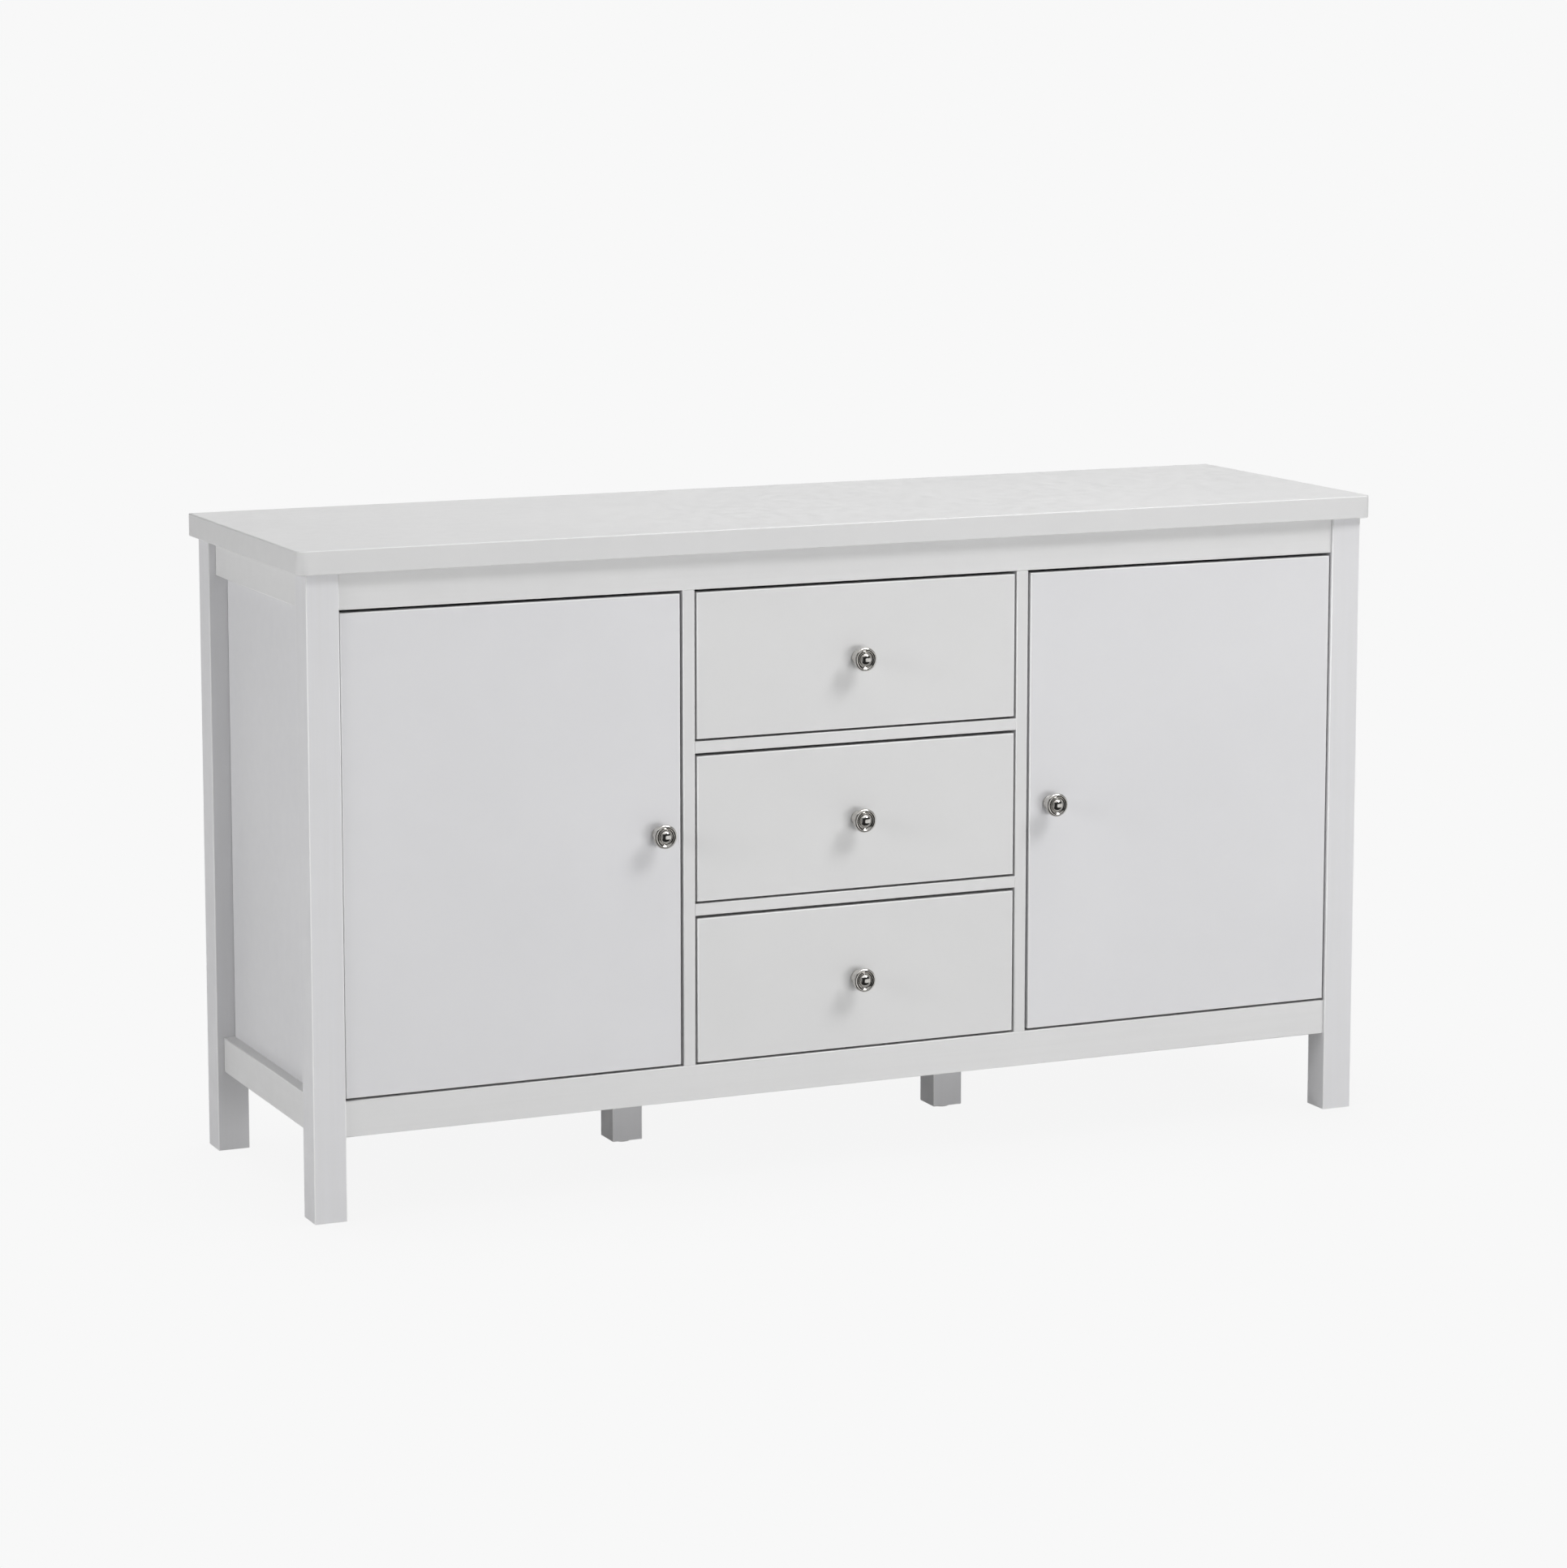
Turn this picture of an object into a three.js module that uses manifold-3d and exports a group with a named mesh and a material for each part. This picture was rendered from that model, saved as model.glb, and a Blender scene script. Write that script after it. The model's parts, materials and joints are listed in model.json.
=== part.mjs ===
// A sideboard: a framed carcass on square posts, with a hinged cupboard door on either side
// and three drawers between them.
// Millimetres, +Z up. The front faces -Y. The origin is on the floor, at the centre of the
// whole outline, knobs included.

import * as THREE from 'three';
import { mergeVertices } from 'three/addons/utils/BufferGeometryUtils.js';
import Module from 'manifold-3d';

const wasm = await Module();
wasm.setup();

// ---------------------------------------------------------------------------
// Driving dimensions
// ---------------------------------------------------------------------------

// The top and the posts
const TOP_WIDTH = 1570;
const TOP_DEPTH = 470;
const HEIGHT = 875;
const TOP_THICKNESS = 31;
const TOP_CORNER_RADIUS = 14;
const SIDE_OVERHANG = 13;
const FRONT_OVERHANG = 10;
const LEG_SIZE = 44;

// The frame of rails between the posts
const FACE_SETBACK = 4;
const FRONT_RAIL_THICKNESS = 18;
const BOTTOM_RAIL_LOW = 110;
const BOTTOM_RAIL_HIGH = 158;
const FRONT_TOP_RAIL_LOW = 796;
const SIDE_TOP_RAIL_LOW = 794;
const SIDE_RAIL_RECESS = 10;
const SIDE_PANEL_RECESS = 26;

// The boards inside
const PARTITION_THICKNESS = 17;
const BOTTOM_THICKNESS = 16;
const BACK_THICKNESS = 4;
const BACK_RECESS = 10;
const BACK_RAIL_THICKNESS = 18;
const DRAWER_RAIL_THICKNESS = 16;
const DRAWER_RAIL_DEPTH = 60;
const SHELF_THICKNESS = 16;
const SHELF_TOP = 501;
const SHELF_SETBACK = 12.5;
const SHELF_SIDE_GAP = 1.5;
const SHELF_BACK_GAP = 2.5;
const MIDDLE_LEG_SETBACK = 204;
const MIDDLE_LEG_CLEARANCE = 4;

// The fronts, which close flush with the frame
const FRONT_THICKNESS = 18;
const GAP_TOP = 4;
const GAP_BOTTOM = 3;
const GAP_HINGE_SIDE = 2;
const GAP_FREE_SIDE = 4;
const GAP_DRAWER_SIDE = 3;

// The drawer boxes
const DRAWER_LENGTH = 400;
const DRAWER_WALL = 14;
const DRAWER_SIDE_HEIGHT = 150;
const DRAWER_SIDE_GAP = 5;
const DRAWER_BOX_LIFT = 8;
const DRAWER_BOTTOM_THICKNESS = 4;
const DRAWER_BOTTOM_LIFT = 10;
const DRAWER_BOTTOM_TENON = 5.5;
const DRAWER_BOTTOM_SLOT_DEPTH = 6;
const DRAWER_BOTTOM_SLOT_PLAY = 0.25;

// The runner strips that the grooves in the drawer sides slide on
const RUNNER_LENGTH = 390;
const RUNNER_HEIGHT = 16;
const RUNNER_WIDTH = 11;
const RUNNER_SETBACK = 7.5;
const GROOVE_HEIGHT = 17;
const GROOVE_DEPTH = 7;

// The knobs
const KNOB_RADIUS = 16.25;
const KNOB_PROJECTION = 29;
const KNOB_DROP = 2;
const KNOB_EDGE_DISTANCE = 31;
const KNOB_SEGMENTS = 28;

// The concealed hinges
const HINGE_END_DISTANCE = 100;
const CUP_EDGE_DISTANCE = 22.5;
const CUP_RADIUS = 17.25;
const CUP_DEPTH = 11.5;
const CUP_WALL = 1.5;
const CUP_FLANGE_RADIUS = 20;
const CUP_FLANGE_THICKNESS = 1.25;
const CUP_BORE_PLAY = 0.35;
const CUP_BORE_END_GAP = 1;
const CUP_SEGMENTS = 28;
const ARM_HEIGHT = 14;
const PLATE_HEIGHT = 50;
const PLATE_LENGTH = 34;
const PLATE_THICKNESS = 6;
const PLATE_SETBACK = 25;
const PLATE_OVERLAP = 0.5;

// ---------------------------------------------------------------------------
// Planes and openings worked out from them
// ---------------------------------------------------------------------------

const knobReach = KNOB_PROJECTION - FRONT_OVERHANG - FACE_SETBACK;
const topFront = -(TOP_DEPTH - knobReach) / 2;
const backY = topFront + TOP_DEPTH;
const legFront = topFront + FRONT_OVERHANG;
const faceY = legFront + FACE_SETBACK;
const frontsBackY = faceY + FRONT_THICKNESS;
const backPanelY = backY - BACK_RECESS - BACK_THICKNESS;
const topUnderside = HEIGHT - TOP_THICKNESS;

const legOuterX = TOP_WIDTH / 2 - SIDE_OVERHANG;
const legInnerX = legOuterX - LEG_SIZE;
const sidePanelOuterX = legOuterX - SIDE_PANEL_RECESS;
const sideRailOuterX = legOuterX - SIDE_RAIL_RECESS;

// The three bays between the posts are equally wide.
const bayWidth = (2 * legInnerX - 2 * PARTITION_THICKNESS) / 3;
const partitionInnerX = bayWidth / 2;
const partitionOuterX = partitionInnerX + PARTITION_THICKNESS;

const bayHeight = FRONT_TOP_RAIL_LOW - BOTTOM_RAIL_HIGH;
const drawerOpening = (bayHeight - 2 * DRAWER_RAIL_THICKNESS) / 3;
const drawerPitch = drawerOpening + DRAWER_RAIL_THICKNESS;

const SIDES = [
  { name: 'left', sign: -1 },
  { name: 'right', sign: 1 },
];
const DRAWERS = [
  { name: 'bottom', floor: BOTTOM_RAIL_HIGH },
  { name: 'middle', floor: BOTTOM_RAIL_HIGH + drawerPitch },
  { name: 'top', floor: BOTTOM_RAIL_HIGH + 2 * drawerPitch },
];

// ---------------------------------------------------------------------------
// Materials
// ---------------------------------------------------------------------------

const paint = { color: 0xd6d7d9, roughness: 0.45, metalness: 0 };
const foil = { color: 0xe2e2e1, roughness: 0.55, metalness: 0 };
const fibreboard = { color: 0xc9c4ba, roughness: 0.8, metalness: 0 };
const plastic = { color: 0xd9d9d6, roughness: 0.5, metalness: 0 };
const nickel = { color: 0x9b9a98, roughness: 0.15, metalness: 1 };
const steel = { color: 0xb4b6b8, roughness: 0.35, metalness: 1 };

// ---------------------------------------------------------------------------
// Building blocks
// ---------------------------------------------------------------------------

const sideboard = new THREE.Group();

// Adds one named piece, with a material of its own, at a place.
function addPiece(name, geometry, finish, x = 0, y = 0, z = 0) {
  const mesh = new THREE.Mesh(geometry, new THREE.MeshStandardMaterial(finish));
  mesh.name = name;
  mesh.position.set(x, y, z);
  sideboard.add(mesh);
}

// Adds a board that fills the space between two limits on each axis. The limits of an
// axis may come in either order, so that a mirrored board takes mirrored numbers.
function addBoard(name, finish, [x0, x1], [y0, y1], [z0, z1]) {
  const size = [Math.abs(x1 - x0), Math.abs(y1 - y0), Math.abs(z1 - z0)];
  addPiece(
    name,
    new THREE.BoxGeometry(...size),
    finish,
    (x0 + x1) / 2,
    (y0 + y1) / 2,
    (z0 + z1) / 2,
  );
}

// A closed outline from a list of corners.
function outline(corners) {
  return new THREE.Shape(corners.map(([u, v]) => new THREE.Vector2(u, v)));
}

function extrude(shape, depth, curveSegments = 8) {
  return new THREE.ExtrudeGeometry(shape, { depth, bevelEnabled: false, curveSegments });
}

// Turns an extrusion so that its outline lies in the YZ plane and its depth runs along +X.
function alongX(geometry) {
  const turn = new THREE.Matrix4().makeBasis(
    new THREE.Vector3(0, 1, 0),
    new THREE.Vector3(0, 0, 1),
    new THREE.Vector3(1, 0, 0),
  );
  return geometry.applyMatrix4(turn);
}

// Turns an extrusion so that its outline lies in the XZ plane and its depth runs along -Y.
function alongMinusY(geometry) {
  const turn = new THREE.Matrix4().makeBasis(
    new THREE.Vector3(1, 0, 0),
    new THREE.Vector3(0, 0, 1),
    new THREE.Vector3(0, -1, 0),
  );
  return geometry.applyMatrix4(turn);
}

// A closed geometry as a solid that can be joined and cut.
function solidOf(geometry) {
  const bare = new THREE.BufferGeometry();
  bare.setAttribute('position', geometry.getAttribute('position').clone());
  bare.setIndex(geometry.index);
  const merged = mergeVertices(bare, 1e-4);
  return new wasm.Manifold(
    new wasm.Mesh({
      numProp: 3,
      vertProperties: merged.attributes.position.array,
      triVerts: new Uint32Array(merged.index.array),
    }),
  );
}

// A solid as a geometry again.
function geometryOf(solid) {
  const mesh = solid.getMesh();
  const geometry = new THREE.BufferGeometry();
  geometry.setAttribute('position', new THREE.BufferAttribute(mesh.vertProperties, 3));
  geometry.setIndex(new THREE.BufferAttribute(mesh.triVerts, 1));
  geometry.computeVertexNormals();
  return geometry;
}

// ---------------------------------------------------------------------------
// The carcass
// ---------------------------------------------------------------------------

// The top has rounded front corners and square back ones.
function addTop() {
  const halfWidth = TOP_WIDTH / 2;
  const r = TOP_CORNER_RADIUS;
  const shape = new THREE.Shape();
  shape.moveTo(halfWidth, backY);
  shape.lineTo(-halfWidth, backY);
  shape.lineTo(-halfWidth, topFront + r);
  shape.absarc(-halfWidth + r, topFront + r, r, Math.PI, 1.5 * Math.PI, false);
  shape.lineTo(halfWidth - r, topFront);
  shape.absarc(halfWidth - r, topFront + r, r, 1.5 * Math.PI, 2 * Math.PI, false);
  addPiece('top_panel', extrude(shape, TOP_THICKNESS), paint, 0, 0, topUnderside);
}

// The corner posts run from the floor to the top. The middle legs stop just above the
// floor, to leave room for their levelling feet.
function addLegs() {
  const rows = [
    { name: 'front', y: [legFront, legFront + LEG_SIZE] },
    { name: 'back', y: [backY - LEG_SIZE, backY] },
  ];
  for (const { name: side, sign } of SIDES) {
    for (const row of rows) {
      const x = [sign * legInnerX, sign * legOuterX];
      addBoard(`leg_${row.name}_${side}`, paint, x, row.y, [0, topUnderside]);
    }
    const middleX = sign * (partitionInnerX + PARTITION_THICKNESS / 2);
    const middleFront = frontsBackY + MIDDLE_LEG_SETBACK;
    addBoard(
      `leg_middle_${side}`,
      paint,
      [middleX - LEG_SIZE / 2, middleX + LEG_SIZE / 2],
      [middleFront, middleFront + LEG_SIZE],
      [MIDDLE_LEG_CLEARANCE, BOTTOM_RAIL_HIGH - BOTTOM_THICKNESS],
    );
  }
}

function addFrontAndBackRails() {
  const x = [-legInnerX, legInnerX];
  const frontY = [faceY, faceY + FRONT_RAIL_THICKNESS];
  addBoard('front_rail_top', paint, x, frontY, [FRONT_TOP_RAIL_LOW, topUnderside]);
  addBoard('front_rail_bottom', paint, x, frontY, [BOTTOM_RAIL_LOW, BOTTOM_RAIL_HIGH]);
  addBoard(
    'back_rail_bottom',
    paint,
    x,
    [backPanelY - BACK_RAIL_THICKNESS, backPanelY],
    [BOTTOM_RAIL_LOW, BOTTOM_RAIL_HIGH - BOTTOM_THICKNESS],
  );
}

// Each end has a panel between the posts, level with their inner faces, and two rails on
// the panel's outer face.
function addEnds() {
  const y = [legFront + LEG_SIZE, backY - LEG_SIZE];
  for (const { name: side, sign } of SIDES) {
    const panelX = [sign * legInnerX, sign * sidePanelOuterX];
    const railX = [sign * sidePanelOuterX, sign * sideRailOuterX];
    addBoard(`side_panel_${side}`, paint, panelX, y, [BOTTOM_RAIL_LOW, topUnderside]);
    addBoard(`side_rail_top_${side}`, paint, railX, y, [SIDE_TOP_RAIL_LOW, topUnderside]);
    addBoard(`side_rail_bottom_${side}`, paint, railX, y, [BOTTOM_RAIL_LOW, BOTTOM_RAIL_HIGH]);
  }
}

function addBottomAndBack() {
  const x = [-legInnerX, legInnerX];
  addBoard(
    'bottom_panel',
    foil,
    x,
    [faceY + FRONT_RAIL_THICKNESS, backPanelY],
    [BOTTOM_RAIL_HIGH - BOTTOM_THICKNESS, BOTTOM_RAIL_HIGH],
  );
  addBoard(
    'back_panel',
    fibreboard,
    x,
    [backPanelY, backPanelY + BACK_THICKNESS],
    [BOTTOM_RAIL_LOW, topUnderside],
  );
}

// A partition stands on the bottom panel and the front rail, and is notched at the top
// for the front rail there.
function addPartitions() {
  const railBackY = faceY + FRONT_RAIL_THICKNESS;
  const profile = outline([
    [faceY, BOTTOM_RAIL_HIGH],
    [backPanelY, BOTTOM_RAIL_HIGH],
    [backPanelY, topUnderside],
    [railBackY, topUnderside],
    [railBackY, FRONT_TOP_RAIL_LOW],
    [faceY, FRONT_TOP_RAIL_LOW],
  ]);
  for (const { name: side, sign } of SIDES) {
    const x = sign < 0 ? -partitionOuterX : partitionInnerX;
    addPiece(`partition_${side}`, alongX(extrude(profile, PARTITION_THICKNESS)), paint, x);
  }
}

function addDrawerRails() {
  const x = [-partitionInnerX, partitionInnerX];
  const y = [faceY, faceY + DRAWER_RAIL_DEPTH];
  const rails = [
    { name: 'lower', top: DRAWERS[1].floor },
    { name: 'upper', top: DRAWERS[2].floor },
  ];
  for (const rail of rails) {
    addBoard(`drawer_rail_${rail.name}`, paint, x, y, [rail.top - DRAWER_RAIL_THICKNESS, rail.top]);
  }
}

function addShelves() {
  const y = [frontsBackY + SHELF_SETBACK, backPanelY - SHELF_BACK_GAP];
  for (const { name: side, sign } of SIDES) {
    const x = [
      sign * (partitionOuterX + SHELF_SIDE_GAP),
      sign * (legInnerX - SHELF_SIDE_GAP),
    ];
    addBoard(`shelf_${side}`, foil, x, y, [SHELF_TOP - SHELF_THICKNESS, SHELF_TOP]);
  }
}

// ---------------------------------------------------------------------------
// Knobs
// ---------------------------------------------------------------------------

// Half of a knob's section, as [radius, distance from the front it is screwed to]: a
// dished head with a raised rim and a domed centre, on a waisted stem with a base flange.
function knobSection() {
  const rim = KNOB_RADIUS;
  return [
    [0, 0],
    [10, 0],
    [10, 1.5],
    [8.5, 4],
    [7, 8],
    [6.75, 12],
    [8, 15.5],
    [12, 18],
    [rim - 0.75, 19.5],
    [rim, 21.5],
    [rim - 0.5, 24],
    [rim - 2.25, 25.5],
    [rim - 4.25, 25],
    [rim - 5.75, 23.5],
    [9, 23.25],
    [8, 25],
    [6, 27.25],
    [3, 28.6],
    [0, KNOB_PROJECTION],
  ];
}

// The section is turned about an axis along -Y, away from the front.
function addKnob(name, x, z) {
  const points = knobSection().map(([r, out]) => new THREE.Vector2(r, -out));
  points.reverse();
  addPiece(name, new THREE.LatheGeometry(points, KNOB_SEGMENTS), nickel, x, faceY, z);
}

// ---------------------------------------------------------------------------
// Hinges
// ---------------------------------------------------------------------------

// A hinge cup is an open pot let into the back of the door, with a flange on its face.
function addHingeCup(name, x, z) {
  const innerRadius = CUP_RADIUS - CUP_WALL;
  const section = [
    [0, -CUP_DEPTH],
    [CUP_RADIUS, -CUP_DEPTH],
    [CUP_RADIUS, 0.25],
    [CUP_FLANGE_RADIUS, 0.25],
    [CUP_FLANGE_RADIUS, CUP_FLANGE_THICKNESS],
    [innerRadius, CUP_FLANGE_THICKNESS],
    [innerRadius, CUP_WALL - CUP_DEPTH],
    [0, CUP_WALL - CUP_DEPTH],
  ];
  const points = section.map(([r, y]) => new THREE.Vector2(r, y));
  addPiece(name, new THREE.LatheGeometry(points, CUP_SEGMENTS), steel, x, frontsBackY, z);
}

// A hinge arm lies on a mounting plate on the end's inner face, and is cranked forwards
// and inwards to reach behind the cup. Its outline is seen from above, as [distance from
// the end's inner face, distance behind the closed door].
function addHingeArm(name, sign, z) {
  const corners = [
    [PLATE_THICKNESS, 64],
    [PLATE_THICKNESS, 20],
    [16, 2.5],
    [36, 2.5],
    [36, 11.5],
    [20, 26],
    [20, 64],
  ];
  const arm = extrude(outline(corners.map(([u, v]) => [-sign * u, v])), ARM_HEIGHT);
  arm.translate(0, 0, -ARM_HEIGHT / 2);
  const plateDepth = PLATE_THICKNESS + PLATE_OVERLAP;
  const plate = new THREE.BoxGeometry(plateDepth, PLATE_LENGTH, PLATE_HEIGHT);
  plate.translate((-sign * plateDepth) / 2, PLATE_SETBACK + PLATE_LENGTH / 2, 0);
  const joined = geometryOf(solidOf(arm).add(solidOf(plate)));
  addPiece(name, joined, steel, sign * legInnerX, frontsBackY, z);
}

// ---------------------------------------------------------------------------
// Doors
// ---------------------------------------------------------------------------

// A door panel with two blind bores in its back for the hinge cups.
function doorPanel(width, height, boreX, boreOffset) {
  const boreDepth = CUP_DEPTH + CUP_BORE_END_GAP;
  let door = solidOf(new THREE.BoxGeometry(width, FRONT_THICKNESS, height));
  for (const z of [-boreOffset, boreOffset]) {
    const bore = new THREE.CylinderGeometry(
      CUP_RADIUS + CUP_BORE_PLAY,
      CUP_RADIUS + CUP_BORE_PLAY,
      2 * boreDepth,
      CUP_SEGMENTS,
    );
    bore.translate(boreX, FRONT_THICKNESS / 2, z);
    door = door.subtract(solidOf(bore));
  }
  return geometryOf(door);
}

function addDoors() {
  const low = BOTTOM_RAIL_HIGH + GAP_BOTTOM;
  const high = FRONT_TOP_RAIL_LOW - GAP_TOP;
  const hingeEdge = legInnerX - GAP_HINGE_SIDE;
  const freeEdge = partitionOuterX + GAP_FREE_SIDE;
  const width = hingeEdge - freeEdge;
  const midX = (hingeEdge + freeEdge) / 2;
  const midZ = (low + high) / 2;
  const hingeOffset = (high - low) / 2 - HINGE_END_DISTANCE;
  const cupX = hingeEdge - CUP_EDGE_DISTANCE;
  const rows = [
    { name: 'upper', z: midZ + hingeOffset },
    { name: 'lower', z: midZ - hingeOffset },
  ];

  for (const { name: side, sign } of SIDES) {
    const panel = doorPanel(width, high - low, sign * (cupX - midX), hingeOffset);
    addPiece(`door_${side}_panel`, panel, paint, sign * midX, faceY + FRONT_THICKNESS / 2, midZ);
    addKnob(`door_${side}_knob`, sign * (freeEdge + KNOB_EDGE_DISTANCE), midZ - KNOB_DROP);
    for (const row of rows) {
      addHingeCup(`door_${side}_cup_${row.name}`, sign * cupX, row.z);
      addHingeArm(`hinge_arm_${side}_${row.name}`, sign, row.z);
    }
  }
}

// ---------------------------------------------------------------------------
// Drawers
// ---------------------------------------------------------------------------

// The section of a drawer side, as [distance inwards from its outer face, height]: a
// groove for the runner outside and a slot for the drawer's bottom inside.
function drawerSideSection() {
  const grooveLow = (DRAWER_SIDE_HEIGHT - GROOVE_HEIGHT) / 2;
  const grooveHigh = grooveLow + GROOVE_HEIGHT;
  const slotLow = DRAWER_BOTTOM_LIFT - DRAWER_BOTTOM_SLOT_PLAY;
  const slotHigh = DRAWER_BOTTOM_LIFT + DRAWER_BOTTOM_THICKNESS + DRAWER_BOTTOM_SLOT_PLAY;
  const slotWall = DRAWER_WALL - DRAWER_BOTTOM_SLOT_DEPTH;
  return [
    [0, 0],
    [DRAWER_WALL, 0],
    [DRAWER_WALL, slotLow],
    [slotWall, slotLow],
    [slotWall, slotHigh],
    [DRAWER_WALL, slotHigh],
    [DRAWER_WALL, DRAWER_SIDE_HEIGHT],
    [0, DRAWER_SIDE_HEIGHT],
    [0, grooveHigh],
    [GROOVE_DEPTH, grooveHigh],
    [GROOVE_DEPTH, grooveLow],
    [0, grooveLow],
  ];
}

function addDrawer(name, floor) {
  const boxFront = frontsBackY;
  const boxBack = boxFront + DRAWER_LENGTH;
  const boxLow = floor + DRAWER_BOX_LIFT;
  const boxHigh = boxLow + DRAWER_SIDE_HEIGHT;
  const outerX = partitionInnerX - DRAWER_SIDE_GAP;
  const innerX = outerX - DRAWER_WALL;
  const frontX = partitionInnerX - GAP_DRAWER_SIDE;
  const frontLow = floor + GAP_BOTTOM;
  const frontHigh = floor + drawerOpening - GAP_TOP;
  const bottomLow = boxLow + DRAWER_BOTTOM_LIFT;
  const bottomHigh = bottomLow + DRAWER_BOTTOM_THICKNESS;
  const bottomX = innerX + DRAWER_BOTTOM_TENON;

  addBoard(`drawer_${name}_front`, paint, [-frontX, frontX], [faceY, boxFront], [frontLow, frontHigh]);
  for (const { name: side, sign } of SIDES) {
    const section = drawerSideSection().map(([u, v]) => [-sign * u, v]);
    const board = alongMinusY(extrude(outline(section), DRAWER_LENGTH));
    addPiece(`drawer_${name}_side_${side}`, board, foil, sign * outerX, boxBack, boxLow);
  }
  addBoard(
    `drawer_${name}_back`,
    foil,
    [-innerX, innerX],
    [boxBack - DRAWER_WALL, boxBack],
    [bottomHigh, boxHigh],
  );
  addBoard(`drawer_${name}_bottom`, foil, [-bottomX, bottomX], [boxFront, boxBack], [bottomLow, bottomHigh]);
  addKnob(`drawer_${name}_knob`, 0, (frontLow + frontHigh) / 2 - KNOB_DROP);
}

// A pair of runner strips on the partitions for each drawer.
function addRunners(name, floor) {
  const y0 = frontsBackY + RUNNER_SETBACK;
  const midZ = floor + DRAWER_BOX_LIFT + DRAWER_SIDE_HEIGHT / 2;
  for (const { name: side, sign } of SIDES) {
    addBoard(
      `runner_${name}_${side}`,
      plastic,
      [sign * (partitionInnerX - RUNNER_WIDTH), sign * partitionInnerX],
      [y0, y0 + RUNNER_LENGTH],
      [midZ - RUNNER_HEIGHT / 2, midZ + RUNNER_HEIGHT / 2],
    );
  }
}

// ---------------------------------------------------------------------------
// The whole sideboard
// ---------------------------------------------------------------------------

addTop();
addLegs();
addFrontAndBackRails();
addEnds();
addBottomAndBack();
addPartitions();
addDrawerRails();
addShelves();
addDoors();
for (const { name, floor } of DRAWERS) {
  addDrawer(name, floor);
  addRunners(name, floor);
}

export default sideboard;
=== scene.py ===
# A white sideboard in satin paint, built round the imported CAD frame.
#
# Each finished piece stands for one CAD node and takes its place and size from it. Lengths
# are in metres, in the frame's own axes: +X right, +Z up, the fronts face -Y. A few small
# outlines are written in millimetres, and scaled where they are used.

import json
import math

import bmesh
import bpy
from mathutils import Matrix, Vector
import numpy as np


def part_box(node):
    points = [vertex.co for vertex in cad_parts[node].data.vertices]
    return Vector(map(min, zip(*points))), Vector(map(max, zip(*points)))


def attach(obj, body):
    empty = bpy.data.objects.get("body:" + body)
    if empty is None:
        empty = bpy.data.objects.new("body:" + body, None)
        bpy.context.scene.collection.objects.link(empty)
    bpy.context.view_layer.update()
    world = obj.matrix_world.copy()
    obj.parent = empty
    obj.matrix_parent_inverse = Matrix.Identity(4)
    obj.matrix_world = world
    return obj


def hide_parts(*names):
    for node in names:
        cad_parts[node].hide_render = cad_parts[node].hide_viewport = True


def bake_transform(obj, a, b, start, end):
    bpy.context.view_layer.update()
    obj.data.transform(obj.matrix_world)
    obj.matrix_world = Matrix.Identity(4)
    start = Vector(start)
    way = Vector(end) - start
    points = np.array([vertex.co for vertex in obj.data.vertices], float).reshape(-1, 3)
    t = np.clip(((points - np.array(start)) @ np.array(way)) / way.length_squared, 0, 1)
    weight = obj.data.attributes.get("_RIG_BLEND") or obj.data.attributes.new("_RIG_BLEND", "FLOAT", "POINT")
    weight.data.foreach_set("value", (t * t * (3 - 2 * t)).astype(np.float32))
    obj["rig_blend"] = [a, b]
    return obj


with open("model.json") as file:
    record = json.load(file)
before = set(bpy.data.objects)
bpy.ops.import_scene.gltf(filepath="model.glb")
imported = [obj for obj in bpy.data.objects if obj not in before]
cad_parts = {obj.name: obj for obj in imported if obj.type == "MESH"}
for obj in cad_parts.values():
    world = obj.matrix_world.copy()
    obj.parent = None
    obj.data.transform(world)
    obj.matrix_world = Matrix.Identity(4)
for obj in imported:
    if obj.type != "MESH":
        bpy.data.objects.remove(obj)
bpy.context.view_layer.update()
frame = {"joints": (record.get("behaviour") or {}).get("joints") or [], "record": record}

MM = 0.001
X, Y, Z = 0, 1, 2
SIDES = {"left": -1, "right": 1}
DRAWERS = ("top", "middle", "bottom")
HINGE_ROWS = ("upper", "lower")

# Eased edges
LEG_EASE = 1.3 * MM
SOLE_EASE = 0.75 * LEG_EASE
FRAME_EASE = 1.2 * MM
TOP_EASE = 1.4 * MM
TOP_CORNER_RADIUS = 14.0 * MM
FRONT_EASE = 1.6 * MM
FRONT_BACK_EASE = 1.0 * MM
DRAWER_TOP_EASE = 2.0 * MM
DRAWER_SIDE_END_EASE = 0.6 * MM
DRAWER_BOTTOM_EASE = 0.4 * MM

# The fine seam that an end's boards leave beside the legs
SEAM_WIDTH = 0.9 * MM
SEAM_DEPTH = 5.0 * MM

# Shelf pins and the rows of holes for them
PIN_RADIUS = 2.4 * MM
PIN_HOLE_RADIUS = 2.5 * MM
PIN_HOLE_DEPTH = 9.0 * MM
PIN_HOLE_PITCH = 32.0 * MM
PIN_HOLES_EACH_WAY = 4
PIN_HOLE_EDGE_DISTANCE = 37.0 * MM

# Hinges
BORE_RADIUS = 17.6 * MM
BORE_DEPTH = 12.5 * MM
HINGE_SCREW_SPACING = 48.0 * MM


# ---- What the frame says ----

BODY_OF = {
    node: body
    for body, nodes in frame["record"]["behaviour"]["bodies"].items()
    for node in nodes
}


def limits(node):
    """A node's lowest and highest corner as plain lists, free of float noise."""
    low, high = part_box(node)
    return [round(value, 6) for value in low], [round(value, 6) for value in high]


def middle(node):
    """The middle of a node's box."""
    low, high = limits(node)
    return [(a + b) / 2 for a, b in zip(low, high)]


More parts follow.
